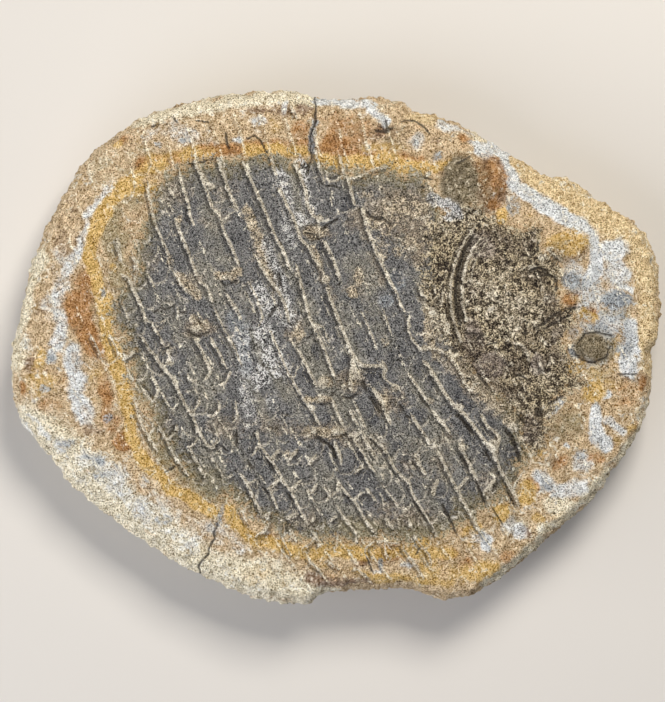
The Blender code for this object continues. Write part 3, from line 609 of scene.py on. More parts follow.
# %% Crevices
CREVICE_LINES = (
    (0.3, 1, -4.9, 67.5, -5.4, 64.5, -4.9, 62, -5.4, 60.4, -4.9, 58.6, -5.8, 56.6, -6.5, 54.8, -6.1, 53,
     -6.6, 51.2, -6, 49.5, -6.6, 47.5, -7.3, 45),
    (0.3, 1, -30.6, -46.3, -31.5, -48.3, -31.3, -49.8, -32.8, -52.3, -33, -54, -34.4, -55.5, -35.6, -57,
     -35.3, -59, -36.4, -61.5, -36.6, -64, -37.6, -67),
    (0.35, 1, -3.3, 30.5, -2, 31.9, -0.6, 32.5, 0.5, 33.3), (0.4, 0.9, -7.5, 29.5, -5, 29.2),
    (0.3, 0.8, -5.5, 27.7, -3.5, 28.3), (0.25, 0.9, -1.7, 41.8, -0.5, 42.1, 1, 41.4),
    (0.35, 0.8, -9, 47.3, -8, 46.8, -6.9, 46.6), (0.4, 0.9, 8.5, 35, 9.3, 34, 11, 33.2, 12.5, 33.2),
    (0.3, 0.7, 12, 34, 14.3, 31.8), (0.3, 0.7, -29.5, 16.8, -28.5, 15.8, -25.5, 17.2),
    (0.25, 0.6, -47, 9.3, -45.3, 10.2, -43.5, 10, -41.4, 11), (0.3, 0.6, -40, 9, -38.7, 9.3),
    (0.3, 0.8, -38, 4.3, -36.8, 3, -34.8, 2.8, -33, 4), (0.3, 0.5, -35.5, 48, -31, 49),
    (0.4, 0.6, -38, 47.5, -37.2, 47.5), (0.45, 0.8, -17, 8, -15.2, 10.8),
    (0.5, 0.9, -14.6, 19, -14.2, 16.5), (0.25, 0.7, -6.8, 2.5, -6, 3.3), (0.3, 0.7, 0.5, 16, 1.3, 16.6),
    (0.5, 0.9, 7.2, -9, 7.4, -10, 8, -11), (0.35, 0.8, 9, -13, 11.5, -16.5),
    (0.4, 0.7, 16.8, -15, 18, -16.8), (0.3, 0.7, 18.5, -17.8, 19.3, -18.3),
    (0.5, 1, -4.5, -23.7, -2, -25, -0.5, -26.5, 0, -28.5), (0.35, 0.6, -4.5, -21.8, -4, -22.3),
    (0.3, 0.8, -3.8, -15, -1.5, -14.7), (0.3, 0.6, 1.8, -12.8, 4, -13.3, 5.8, -12.3),
    (0.3, 0.6, -1, -12.5, 0, -11.5), (0.3, 0.5, 9.3, -24, 10.8, -25.5), (0.35, 0.5, 2, -23, 3, -22.6),
    (0.55, 0.8, 31.8, -17.5, 35.5, -22), (0.55, 0.9, 44.5, -21.5, 46, -23.5, 47, -26, 48, -29.5),
    (0.35, 0.6, 39, -27, 40.3, -29.5), (0.4, 0.7, 33, -28, 34.5, -31.5),
    (0.4, 0.8, 36.8, -35, 38.8, -40.5), (0.4, 0.6, 28, -41, 31.8, -49), (0.3, 0.6, 20.5, -40, 25.5, -47.5),
    (0.3, 0.5, 45, -38, 46.5, -41), (0.3, 0.5, 41, -42, 43.5, -46), (0.3, 0.5, 22, -12.5, 24.5, -16),
    (0.35, 0.6, 33.8, 3.8, 34.6, 3.4, 36, 3.6), (0.45, 0.7, 37, 2, 38.3, 3.2),
    (0.25, 0.9, 39.5, 0.6, 42, 1.3), (0.35, 0.8, 44.3, 1, 45.5, 0.3),
    (0.3, 0.8, 47.5, -7.2, 48.8, -7.6, 49.8, -8.3), (0.4, 0.9, 37.3, -7, 38.3, -8.7, 39.6, -10),
    (0.35, 0.8, 53, 5.5, 57.5, 8.7, 60, 9.9, 62.5, 10.2), (0.3, 0.6, 54.5, 4.8, 61.5, 8.6),
    (0.4, 0.9, 50.5, 19.5, 51.5, 20.2, 53, 20.7, 55, 19.8), (0.4, 0.9, 53.6, 18.6, 55.5, 18.8, 57, 18.2),
    (0.35, 0.6, 57.4, 18, 57.6, 15), (0.3, 0.7, 50.8, 23.5, 52.5, 25, 52.6, 27),
    (0.4, 0.8, 55.8, -14.6, 59.2, -12.7), (0.3, 0.7, 47.5, -17.5, 49.2, -19.6),
    (0.45, 0.8, -42.8, -31.8, -41.8, -31.2), (0.45, 1, -25.5, -22.8, -25.6, -25.4),
    (0.3, 0.55, 63.4, 1.3, 65, 3.4, 68.2, 3.9, 72, 3), (0.3, 0.4, 73.4, -7.1, 78.2, -7.1),
    (0.3, 0.7, -22.8, 54.3, -21, 55, -19.5, 54, -17.8, 50.5),
    (0.35, 0.7, -28.4, 55.6, -28.3, 54, -27.6, 51.5), (0.25, 0.6, -35.8, 59, -33, 58.5),
    (0.3, 0.8, -47.5, 57.4, -46, 58), (0.2, 0.6, -42.4, 60, -41.2, 58.6),
    (0.45, 1, 11, 56.2, 13, 56, 14.6, 56.8), (0.35, 0.8, 13.2, 59, 13.6, 57),
    (0.25, 0.7, 17.3, 58.7, 20.5, 59, 22.6, 57.8, 24.6, 55.5), (0.3, 0.6, 31.5, 47.5, 35, 49.5),
    (0.35, 0.7, 24, 38, 25.2, 38.4), (0.35, 0.7, 23.3, 28.7, 24.7, 28.2), (0.3, 0.6, -5, 61, -5.2, 58),
    (0.3, 0.7, 23.5, 44, 25, 43.6), (0.3, 0.5, 8.3, -55, 9.8, -58.5), (0.3, 0.5, 22.2, -52, 21, -54),
    (0.3, 0.6, -17.5, -29.5, -16, -31.5), (0.35, 0.5, -22.5, -30, -21.3, -31.5),
    (0.35, 0.5, -29, -26, -28, -27), (0.35, 0.5, -12.6, -45, -11.5, -47), (0.3, 0.5, -12.3, -38, -11, -40),
    (0.3, 0.5, -18.8, -36.5, -17.4, -38),
    (0.5, 1, 35.8, 28.6, 33.7, 25, 32.2, 21, 31.5, 17, 31.3, 13, 31.6, 9.5, 32.5, 6),
    (0.3, 0.7, 62.8, -2, 64.5, -3.6, 67.5, -4, 70.5, -2.6, 71.6, 0.2),
)
CREVICE_SPOTS = (
    (-18.6, -4.6, 0.5, 0.7, 1), (53, -17, 1.4, 1.7, 0.8), (37.3, 31.6, 1, 0.6, 1),
    (31.4, 14.6, 0.6, 0.7, 1), (-1, 53.4, 0.8, 0.6, 0.5), (31.2, -1.1, 1.2, 0.6, 1),
    (22.6, 41.6, 1.2, 0.6, 0.9), (34.7, 28.7, 0.8, 0.4, 0.8), (31, 24.3, 0.6, 0.5, 0.8),
    (2.9, 45.6, 0.4, 0.5, 0.7), (14, 8.1, 0.5, 0.3, 0.7), (14.5, 1.3, 0.5, 0.4, 0.7),
    (49.5, 3.6, 0.7, 0.7, 0.9), (45, 3, 0.4, 0.4, 0.9), (52.3, 4.9, 0.8, 0.5, 0.9),
    (53.2, -0.2, 0.7, 0.4, 0.8), (47.9, -5.6, 0.5, 0.5, 1), (45.3, 12, 0.7, 0.6, 0.7),
    (52, 16, 1.2, 0.8, 0.6), (57.5, 23, 0.5, 0.7, 0.8), (50, 14, 0.5, 0.4, 0.6), (43, 17, 0.7, 0.5, 0.6),
    (48.3, 8.5, 0.6, 0.5, 0.7), (42.5, 7, 0.6, 0.5, 0.6), (40.3, 17.5, 1, 0.7, 0.6),
    (47, 19, 0.6, 0.5, 0.7), (44, 22.5, 0.6, 0.5, 0.5), (48, 25, 0.6, 0.5, 0.5), (43.5, -8, 0.7, 0.6, 0.6),
    (46, -12.5, 0.8, 0.7, 0.5), (52, -11, 0.8, 0.6, 0.5), (46, 7.3, 0.9, 0.4, 0.7),
    (50.3, -13.5, 0.6, 0.7, 0.6), (55, -8.5, 0.8, 0.5, 0.5), (37.5, -2.6, 0.6, 0.4, 0.5),
    (29.7, 12.3, 0.5, 0.7, 0.6), (9.7, -20, 0.5, 0.5, 0.6), (18.8, 33, 0.6, 0.4, 0.5),
)
print("crevices:", len(CREVICE_LINES))

# %% [markdown]
# ## Relief of the ridges and scale edges
#
# Ridges stand about half a millimetre proud, with a groove along their lower side, and noise
# thins and thickens them, so that no two are alike. The faint scale edges between them are a
# fifth of a millimetre high, show in patches, and end in knobs at the row lines.

# %% Ridge, crevice and scale edge heights
RIDGE_HEIGHT = 0.42
RIDGE_THICKNESS = 0.8
RIDGE_FOOT = 0.6
GROOVE_DEPTH = 0.18
GROOVE_WIDTH = 0.5
CREVICE_DEPTH = 0.6
CREVICE_LIP = 0.45
EDGE_REACH = 1.5
EDGE_LOWEST_SHARE = 0.25
LOWER_TRUNK = (8.0, 20.0)
TAIL_TRUNK = (40.0, 46.0)
EDGE_SHORE = (-8.0, -4.0)
EDGE_HEAD_GAP = (-4.0, -1.0)
EDGE_KNOB_STRETCH = 6.0
EDGE_KNOB = (-1.1, -0.3)
EDGE_END = (0.04, 0.1)
EDGE_PATCHES = (-0.4, 0.5)


def ridge_relief(x, y):
    """Height of the drawn ridges and of the grooves along their lower sides."""
    signed, width, cover = line_maps(x, y, RIDGES)
    thick = RIDGE_THICKNESS + swells("ridge thickness", x, y)
    crest = 1.0 - smooth_step(np.abs(signed), 0.0, width + RIDGE_FOOT)
    groove = np.exp(-(((signed + width + RIDGE_FOOT) / GROOVE_WIDTH) ** 2))
    return cover * (RIDGE_HEIGHT * thick * crest - GROOVE_DEPTH * groove)


def crevice_relief(x, y):
    """Depth of the cracks and pits."""
    signed, width, cover = line_maps(x, y, CREVICE_LINES)
    cut = cover * (1.0 - smooth_step(np.abs(signed), 0.0, width + CREVICE_LIP))
    return CREVICE_DEPTH * np.maximum(cut, spots(x, y, CREVICE_SPOTS))


def scale_edges(x, y):
    """Signed gap to the scale edges, how far they show, and the knobs where they meet the rows."""
    bent_x = x + swells("scale shift along", x, y) + swells("scale shiver along", x, y)
    bent_y = y + swells("scale shift up", x, y) + swells("scale shiver up", x, y)
    gap, across = scale_gap(bent_x, bent_y)
    shown = smooth_step(depth_inside(x, y, trunk_region), *EDGE_SHORE)
    shown *= 1.0 - smooth_step(depth_inside(x, y, head_region), *EDGE_HEAD_GAP)
    shown *= np.maximum(smooth_step(-y, *LOWER_TRUNK), smooth_step(-x, *TAIL_TRUNK))
    patchy = smooth_step(swells("scale patches", x, y), *EDGE_PATCHES)
    shown *= EDGE_LOWEST_SHARE + (1.0 - EDGE_LOWEST_SHARE) * patchy
    shown *= np.abs(gap) < EDGE_REACH
    side = np.minimum(across, 1.0 - across)
    knobs = shown * smooth_step(-np.hypot(gap, EDGE_KNOB_STRETCH * side), *EDGE_KNOB)
    return gap, shown * smooth_step(side, *EDGE_END), knobs


# %% [markdown]
# ## Relief of the split face
#
# The face swells gently towards its middle. The trunk lies a little below the rock, as a thin
# layer of it came away with the other half. The head gets crumbs at two sizes and fine growth
# lines round the cheek. Raised bones are ovals with steep sides, and the rock is rough from the
# split.

# %% Face heights
EDGE_HEIGHT = 21.0
EDGE_DROP = 0.8
FACE_CROWN = 3.6
FACE_CROWN_END = 1.3
FACE_HALF_LENGTH = 85.0
FACE_HALF_WIDTH = 67.0
TRUNK_DEPTH = 0.25
ROW_LINE_HEIGHT = 0.3
ROW_LINE_WIDTH = 0.8
ROW_LINE_LOSS_ON_TRUNK = 0.7
CHEEK_CENTRE = (47.4, 11.0)
CHEEK_FRONT = (3.3, 9.8)
CHEEK_CRUMB_LOSS = 0.5
GROWTH_HEIGHT = 0.3
GROWTH_PITCH = 1.4
GROWTH_RADIUS = 17.0
GROWTH_FADE = (-4.0, -2.0)
CLINGING_HEIGHT = 0.45
EDGE_LINE_HEIGHT = 0.2
EDGE_LINE_WIDTH = 0.7
EDGE_KNOB_HEIGHT = 0.3
KNOB_HEIGHT = 0.55
LUMP_SIDE = (0.7, 1.05)
ROUGH_ON_FOSSIL, ROUGH_ON_ROCK = 0.08, 0.45
GRAINS_ON_FOSSIL, GRAINS_ON_ROCK = 0.04, 0.24
LUMPS = (  # x, y, half length, half height, rise
    (36.2, 42.6, 8.4, 8.6, 2.2),
    (60.6, 26.6, 6.8, 4.6, 1.3),
    (68.3, 0.0, 5.2, 4.0, 1.5),
    (74.0, 12.0, 4.8, 3.0, 0.6),
    (72.6, 24.6, 4.6, 3.6, 0.5),
    (45.6, -28.0, 3.2, 5.4, 0.6),
    (70.0, -21.0, 5.0, 6.0, 0.5),
    (60.5, -20.0, 4.5, 5.5, 0.5),
)


def head_relief(x, y):
    """Crumbs of the crushed skull, fewer on the cheek, which has growth lines instead."""
    crumbs = swells("head crumbs", x, y) + roughs("head crumbs", x, y)
    arm = np.hypot(x - CHEEK_CENTRE[0], y - CHEEK_CENTRE[1])
    cheek = smooth_step(CHEEK_CENTRE[0] - x, *CHEEK_FRONT)
    growth = GROWTH_HEIGHT * np.sin(arm * 2.0 * math.pi / GROWTH_PITCH)
    growth *= smooth_step(-np.abs(arm - GROWTH_RADIUS), *GROWTH_FADE)
    return crumbs * (1.0 - CHEEK_CRUMB_LOSS * cheek) + cheek * growth


def row_line_relief(x, y, trunk_depth):
    """The faint row lines in the rock round the trunk."""
    line = np.maximum(0.0, 1.0 - np.abs(row_gap(x, y)) / ROW_LINE_WIDTH)
    return ROW_LINE_HEIGHT * line * smooth_step(trunk_depth, *HALO_EDGE)


def rock_relief(x, y, rock):
    """Unevenness of the bare rock, far stronger than the fossil's."""
    ground = (ROUGH_ON_FOSSIL + ROUGH_ON_ROCK * rock) * roughs("rock", x, y)
    ground += rock * swells("rock lumps", x, y)
    return ground + (GRAINS_ON_FOSSIL + GRAINS_ON_ROCK * rock) * swells("rock grains", x, y)


def face_height(x, y):
    """Height of the split face above the resting plane."""
    spread = (x / FACE_HALF_LENGTH) ** 2 + (y / FACE_HALF_WIDTH) ** 2
    crown = FACE_CROWN * (1.0 - np.minimum(spread, FACE_CROWN_END))
    height = EDGE_HEIGHT - EDGE_DROP + crown + swells("face", x, y)
    trunk_depth = depth_inside(x, y, trunk_region)
    trunk = smooth_step(trunk_depth, *TRUNK_SHORE)
    head = smooth_step(depth_inside(x, y, head_region), *HEAD_SHORE)
    height += ridge_relief(x, y) - TRUNK_DEPTH * trunk
    faint = (1.0 - ROW_LINE_LOSS_ON_TRUNK * trunk) * (1.0 - head)
    height += row_line_relief(x, y, trunk_depth) * faint
    height += head * head_relief(x, y)
    clinging = drawn(x, y, CRUMB_LINES, CRUMB_SPOTS) * (1.0 - head)
    height += clinging * (CLINGING_HEIGHT + roughs("clinging crumbs", x, y))
    gap, shown, knobs = scale_edges(x, y)
    edge = np.maximum(0.0, 1.0 - np.abs(gap) / EDGE_LINE_WIDTH)
    height += EDGE_LINE_HEIGHT * shown * edge + EDGE_KNOB_HEIGHT * knobs
    height += KNOB_HEIGHT * spots(x, y, KNOB_SPOTS)
    for *oval, rise in LUMPS:
        height += rise * (1.0 - smooth_step(oval_reach(x, y, *oval), *LUMP_SIDE))
    height += rock_relief(x, y, 1.0 - np.maximum(trunk, head))
    return height - crevice_relief(x, y)


# %% [markdown]
# ## The stone's sheet
#
# A grid whose columns follow the scale rows has lines of vertices along most ridges, so they
# come out crisp with few faces. It starts as a plain square, is bent to the rows, and is
# trimmed to the split edge.

# %% Grid along the rows
ROW_COLUMNS = 13
TAIL_COLUMNS = 11
LINE_STEP = 0.56
FIRST_PLACE, LAST_PLACE = -112.0, 80.0
FIRST_LINE, LAST_LINE = -60.0, 93.0


def column_places():
    """Places along the trunk of the grid's columns, a whole number of them to a row."""
    tail_step = TAIL_ROW_PITCH / TAIL_COLUMNS
    trunk_step = ROW_PITCH / ROW_COLUMNS
    tail = np.arange(LAST_TAIL_ROW - tail_step, FIRST_PLACE, -tail_step)[::-1]
    return np.concatenate([tail, np.arange(LAST_TAIL_ROW, LAST_PLACE, trunk_step)])


def coordinates(verts):
    """The vertices' places as an array."""
    return np.array([vert.co[:] for vert in verts])


def make_grid():
    """Square grid, bent so that its columns follow the scale rows."""
    columns = column_places()
    lines = np.arange(FIRST_LINE, LAST_LINE, LINE_STEP)
    sheet = bmesh.new()
    bmesh.ops.create_grid(sheet, x_segments=len(columns) - 1, y_segments=len(lines) - 1, size=1.0)
    square = coordinates(sheet.verts)
    column = np.rint((square[:, 0] + 1.0) / 2.0 * (len(columns) - 1)).astype(int)
    line = np.rint((square[:, 1] + 1.0) / 2.0 * (len(lines) - 1)).astype(int)
    x, y = plan_place(columns[column], lines[line])
    for vert, place_x, place_y in zip(sheet.verts, x, y):
        vert.co = (place_x, place_y, 0.0)
    return sheet


sheet = make_grid()
print("faces of the bent grid:", len(sheet.faces))

# %% Trim to the split edge
GIRTH_HEIGHT = 12.5
EDGE_TURN = math.asin((EDGE_HEIGHT - EDGE_DROP - GIRTH_HEIGHT) / (EDGE_HEIGHT - GIRTH_HEIGHT))
TRIM_GAP = 0.45


def rind_place(turn):
    """The rind's ring in plan, from the girth (turn 0) towards the split face."""
    return outline + inward * (rind_width * (1.0 - math.cos(turn)))[:, None]


def is_outside(vert, ring, tree):
    """Whether the vertex is outside the ring or too near it."""
    _, nearest, gap = tree.find(vert.co)
    towards = (vert.co.x - ring[nearest][0]) * inward[nearest][0]
    towards += (vert.co.y - ring[nearest][1]) * inward[nearest][1]
    return towards < 0.0 or gap < TRIM_GAP


def is_pinched(vert):
    """Whether the border touches itself here, as two corners meeting in a point."""
    return sum(edge.is_boundary for edge in vert.link_edges) > 2


def trim(sheet, ring, tree):
    """Deletes the faces that reach outside the ring, and then the pinched corners."""
    outside = {vert for vert in sheet.verts if is_outside(vert, ring, tree)}
    gone = [face for face in sheet.faces if not outside.isdisjoint(face.verts)]
    while gone:
        bmesh.ops.delete(sheet, geom=gone, context="FACES")
        pinched = [vert for vert in sheet.verts if is_pinched(vert)]
        gone = list({face for vert in pinched for face in vert.link_faces})


split_edge = rind_place(EDGE_TURN)
edge_tree = tree_of(split_edge)
trim(sheet, split_edge, edge_tree)
print("faces on the split face:", len(sheet.faces))

# %% [markdown]
# ## Border of the sheet
#
# The trimmed sheet's border will be extruded ring by ring: over the split edge, down the rounded
# rind to the girth, and in under the domed back to the flat patch that the stone rests on.
# Each border vertex keeps one place along the outline all the way down. The places are
# smoothed along the border, so that the stair-steps of the trimmed grid don't fold the rings.

# %% Border places
SMOOTHING_REACH = 6
SHORTEST_STEP = 0.15


def border_loop(sheet):
    """The border's vertices in order."""
    start = next(edge for edge in sheet.edges if edge.is_boundary)
    loop = [start.verts[0], start.verts[1]]
    edge = start
    while True:
        edge = next(other for other in loop[-1].link_edges if other.is_boundary and other != edge)
        following = edge.other_vert(loop[-1])
        if following == loop[0]:
            return loop
        loop.append(following)


def even_places(loop, tree):
    """Each border vertex's place along the outline, always moving forward."""
    nearest = np.array([tree.find((vert.co.x, vert.co.y, 0.0))[1] for vert in loop], float)
    steps = np.diff(nearest, append=nearest[0])
    half = OUTLINE_STEPS / 2.0
    steps = (steps + half) % OUTLINE_STEPS - half
    if steps.sum() < 0:
        loop.reverse()
        return even_places(loop, tree)
    reach = SMOOTHING_REACH
    padded = np.concatenate([steps[-reach:], steps, steps[:reach]])
    window = np.hanning(2 * reach + 3)[1:-1]
    smooth = np.convolve(padded, window / window.sum(), mode="valid")
    smooth = np.maximum(smooth, SHORTEST_STEP * OUTLINE_STEPS / len(loop))
    smooth *= OUTLINE_STEPS / smooth.sum()
    return nearest[0] + np.concatenate([[0.0], np.cumsum(smooth[:-1])])


def along(values, places):
    """Values kept for each outline step, read at the border's places."""
    steps = np.arange(OUTLINE_STEPS + 1)
    closed = np.concatenate([values, values[:1]])
    return np.interp(places % OUTLINE_STEPS, steps, closed)


border_layer = sheet.verts.layers.int.new("border")
loop = border_loop(sheet)
border_places = even_places(loop, edge_tree)
for index, vert in enumerate(loop):
    vert[border_layer] = index
outline_x, outline_y = along(outline[:, 0], border_places), along(outline[:, 1], border_places)
inward_x, inward_y = along(inward[:, 0], border_places), along(inward[:, 1], border_places)
border_width = along(rind_width, border_places)
print("border vertices:", len(loop))

# %% [markdown]
# ## Rind and back
#
# Water and frost have flaked the outside of the stone, so it is chipped at two sizes and has no
# sharp edge but the split one. The back's lumps are broader still. A ring's turn is its angle
# round the stone's side, from the girth up to the split edge, or from the resting patch out to
# the girth.

# %% Rings of the rind and back
CHIP_SWELL = (0.7, 4.0)
CHIP_ROUGH = (0.7, 1.8)
CHIP_RISE = 0.6
CHIP_RISE_BACK = 0.5
CHIP_START = 0.5
RIND_LUMP = (0.6, 11.0)
BACK_LUMP = (1.5, 27.0)
EDGE_LIFT = 0.4
EDGE_BELOW_FACE = 0.15
REST_HALF_LENGTH = 37.0
REST_HALF_WIDTH = 27.0


def chips(x, y, z):
    """Flaked, weathered unevenness of the rind."""
    (broad, broad_lump), (fine, fine_lump) = CHIP_SWELL, CHIP_ROUGH
    return broad * swell(x, y, z, broad_lump) + fine * rough(x, y, z, fine_lump)


def rind_ring(turn):
    """Ring on the round of the rind: turn 0 is the girth."""
    height, lump = RIND_LUMP
    bulge = height * swell(outline_x, outline_y, 2.0 * GIRTH_HEIGHT, lump)
    inset = border_width * (1.0 - math.cos(turn)) + bulge * math.sin(turn)
    x, y = outline_x + inward_x * inset, outline_y + inward_y * inset
    z = np.full_like(x, GIRTH_HEIGHT + (EDGE_HEIGHT - GIRTH_HEIGHT) * math.sin(turn))
    chip = chips(x, y, z)
    out = chip * math.cos(turn)
    return x - inward_x * out, y - inward_y * out, z + chip * CHIP_RISE


def edge_ring():
    """The split edge: on the rind's ring in plan, on the face's relief in height."""
    x, y, z = rind_ring(EDGE_TURN)
    return x, y, np.minimum(z + EDGE_LIFT, face_height(x, y) - EDGE_BELOW_FACE)


def back_ring(turn):
    """Ring of the domed back: turn 0 is the rim of the rest face, a right angle is the girth."""
    around = np.arctan2(outline_y / FACE_HALF_WIDTH, outline_x / FACE_HALF_LENGTH)
    foot_x, foot_y = REST_HALF_LENGTH * np.cos(around), REST_HALF_WIDTH * np.sin(around)
    share = math.sin(turn)
    x, y = foot_x + (outline_x - foot_x) * share, foot_y + (outline_y - foot_y) * share
    z = np.full_like(x, GIRTH_HEIGHT * (1.0 - math.cos(turn)))
    bulge = sum(height * swell(x, y, z, lump) for height, lump in (BACK_LUMP, RIND_LUMP))
    bulge *= math.sin(2.0 * turn)
    chip = chips(x, y, z) * smooth_step(turn, 0.0, CHIP_START)
    inset = (bulge + chip) / np.hypot(x, y)
    rise = bulge + CHIP_RISE_BACK * chip * math.cos(turn)
    return x * (1.0 - inset), y * (1.0 - inset), np.maximum(0.0, z + rise)


# %% Lift the face and draw the rings
RIND_RINGS = 9
BACK_RINGS = 13


def lift_face(sheet):
    """Moves the flat sheet's vertices up to the face's relief."""
    place = coordinates(sheet.verts)
    heights = face_height(place[:, 0], place[:, 1])
    for vert, height in zip(sheet.verts, heights):
        vert.co.z = height


def draw_ring(sheet, edges, ring):
    """Extrudes the border edges to the ring's places and returns the new border."""
    x, y, z = ring
    extruded = bmesh.ops.extrude_edge_only(sheet, edges=edges)["geom"]
    for vert in extruded:
        if isinstance(vert, bmesh.types.BMVert):
            index = vert[border_layer]
            vert.co = (x[index], y[index], z[index])
    return [edge for edge in extruded if isinstance(edge, bmesh.types.BMEdge) and edge.is_boundary]


def close_stone(sheet):
    """Draws the border down and under the stone, and fills the patch that it rests on."""
    border = [edge for edge in sheet.edges if edge.is_boundary]
    border = draw_ring(sheet, border, edge_ring())
    for step in reversed(range(RIND_RINGS)):
        border = draw_ring(sheet, border, rind_ring(EDGE_TURN * step / RIND_RINGS))
    for step in reversed(range(BACK_RINGS)):
        border = draw_ring(sheet, border, back_ring(math.pi / 2.0 * step / BACK_RINGS))
    bmesh.ops.edgeloop_fill(sheet, edges=border)
    bmesh.ops.triangulate(sheet, faces=[face for face in sheet.faces if len(face.verts) > 4])
    bmesh.ops.recalc_face_normals(sheet, faces=sheet.faces)


lift_face(sheet)
close_stone(sheet)
print("triangles of the stone:", sum(len(face.verts) - 2 for face in sheet.faces))

# %% [markdown]
# ## Stains of the rock
#
# The siltstone is stained in broad strokes and patches. Gold and rust are iron that oozed out of
# the fish. Chalk and slate are rock that bleached, white or grey. Cream and tan lie on the
# weathered rind, moss-brown on the raised bones, and olive and umber are duller tints between.

# %% Stains of the rock
ROCK_STROKES = {
    "cream": (
        (2.3, 1, -50, 60, -40, 61.8, -30, 63.6, -20, 65.3, -12, 65.5, -5.5, 64.6),
        (2.6, 1, -85, -7, -84, 0, -82, 8, -80, 16, -77, 24),
        (7.5, 1, -80, -21, -72, -28, -64, -35, -55, -43, -46, -49),
        (6.3, 1, -46, -49, -36, -56, -25, -60, -14, -64, -8, -65),
        (1.9, 1, 83, -10, 82, -18, 77, -26, 71, -34, 64, -41, 57, -47),
        (1.5, 0.9, 57, -47, 51, -52, 46, -57, 40, -61), (1.5, 0.8, 35, 56, 42, 53, 47, 50),
    ),
    "tan": (
        (2.6, 1, 46.5, 49, 51, 46, 56, 42.5), (4.7, 1, 56, 41.8, 63, 38.8, 70, 34.6, 76, 30, 80, 25),
        (3.4, 1, 80, 25, 82, 18, 82.6, 10, 81.7, 3, 81.5, -3),
    ),
    "umber": (
        (1.8, 0.9, -7, -60.3, 0, -61.3, 9, -61.7), (1.2, 0.6, -22, 61.8, -16, 61.9, -7, 61.6),
        (1.2, 0.6, 75, -8.5, 80, -8),
    ),
    "chalk": (
        (1.9, 0.7, -58, 42, -62.5, 35, -64.5, 30, -66, 26, -69.5, 21.5, -70.5, 16),
        (2.3, 0.75, -72, 16, -71.5, 10, -71, 5, -72.5, 1),
        (2.7, 0.8, -68, -1, -68, -8, -67.5, -12, -65, -18), (1.7, 1, -4, 64.6, 2, 64.4, 9.5, 63.6),
        (1.2, 0.8, 9, 62, 12, 59.5),
        (2.2, 1.2, 39, 51.6, 43.5, 51, 45.2, 48, 45.5, 44.5, 47, 42.2, 52, 39, 55, 36.8),
        (2, 1.3, 55, 36.8, 60, 33.6, 64, 32, 66.2, 29, 68, 25.5, 67.6, 21, 66, 17),
        (0.7, 1, 71.8, 17, 77.6, 15.2), (2.2, 1.2, 76.6, 5, 77, -1, 76, -6.3),
        (1.7, 1.2, 67.8, -16, 68.3, -21, 71, -26), (1.3, 0.8, 71, -19.3, 74.8, -22),
        (2.4, 0.85, 54, -34, 57.5, -37.8, 64, -37), (1.1, 1, 56, -17.6, 59, -13.7),
        (2, 0.7, 44.6, -45.5, 47.8, -48.5), (4, 0.5, -65, -29.5, -57, -36, -48, -43, -38, -49, -30, -52.5),
        (1.8, 0.6, -80, -19, -77, -22, -71, -26),
        (1.1, 1, 25, 39.2, 28, 37.7, 30.5, 37.2, 31.8, 36, 32.6, 34.5, 32.2, 32.8, 30.2, 32.8),
        (1.2, 0.6, 50, -41.5, 53, -38), (3, 0.45, -56, -33, -46, -41, -36, -47, -27, -51),
    ),
    "slate": (
        (1.3, 0.6, 70, 5.4, 66.5, 5.6), (1.1, 0.8, -5.8, 51, -5.7, 55, -5.4, 59),
        (0.8, 0.6, -29, -37.5, -29.6, -42, -30.4, -46), (2.3, 0.6, -26, 8, -24, 1, -23.2, -6),
        (0.9, 0.7, -65, -28.5, -60, -30),
    ),
    "olive": (
        (2.8, 0.8, -47.5, -24, -42, -31, -36, -36, -30, -38.5), (1.5, 0.4, 74, 9, 70, 7.6),
    ),
    "rust": (
        (3, 0.95, -65, 18, -64, 14), (2.6, 1, -65, 4, -61.5, -1),
        (2, 0.7, -60, -5, -59.5, -12, -58.8, -20), (1.9, 0.95, 7, -54, 17, -53.6),
        (1.7, 0.85, 21, -53.6, 30, -53.6), (2.4, 0.35, -77, -4, -72.5, -8), (2, 0.5, -80, -13, -73, -16),
        (1.8, 0.8, -50, 47.5, -40, 49.6, -28, 51.4, -14, 53, -2, 51.5, 10, 50, 22, 48.5),
    ),
    "gold": (
        (1.9, 1.1, -45, 47.6, -50, 46, -55, 42.4, -59, 36.8, -62.2, 32, -63.6, 27),
        (1.7, 1.15, -63.6, 27, -64, 22.5, -61.8, 18, -60.6, 14, -59.7, 10, -59.2, 5.7),
        (1.9, 1.1, -59.2, 5.7, -59, 1.5, -57, -3, -55.3, -7.4, -54, -13.4, -53.6, -18.2),
        (1.6, 1.15, -53.6, -18.2, -52.5, -24, -50, -29.5, -46.5, -33.5, -42.4, -37.1),
        (1.7, 1.3, -42.4, -37.1, -37.1, -39.8, -31.6, -42.6),
        (1.9, 1.05, -27.4, -42, -25.5, -45.8, -22, -49, -17, -51),
        (1.7, 1.05, -17, -51, -10.8, -53, -4, -53.6, 3.4, -53.2),
        (1.9, 1, 3.4, -53.2, 12, -53.6, 20, -53.4, 30, -53.6), (2.6, 0.7, 24, -58, 32, -59, 41, -58),
        (1.6, 0.9, 11, -60.3, 19, -60.6, 30, -62), (1.6, 0.6, -48, 48.5, -38, 50.3, -30, 50.9),
        (1.9, 1, -23.4, 51.8, -14.8, 51.8), (1.4, 0.7, -13, 51.4, -7.4, 50.6),
        (1.9, 1, -3.6, 48.6, 5, 48.2, 12, 48.7, 23, 46.8), (1.3, 1, 26, 46, 29, 47.9),
        (2.6, 0.7, -57, 41.5, -48, 42.4), (1.2, 1, 43.6, 35.8, 43.4, 33), (1.1, 0.5, 60.5, 13, 63.6, 11.8),
        (1.4, 1, 64.6, 9.2, 67.6, 7.7), (1.3, 0.5, 73.2, 2, 73.8, -3, 72, -6, 67, -6.2),
        (1.1, 0.8, 5, -58, 10, -60.5, 15, -61, 22, -61),
    ),
}
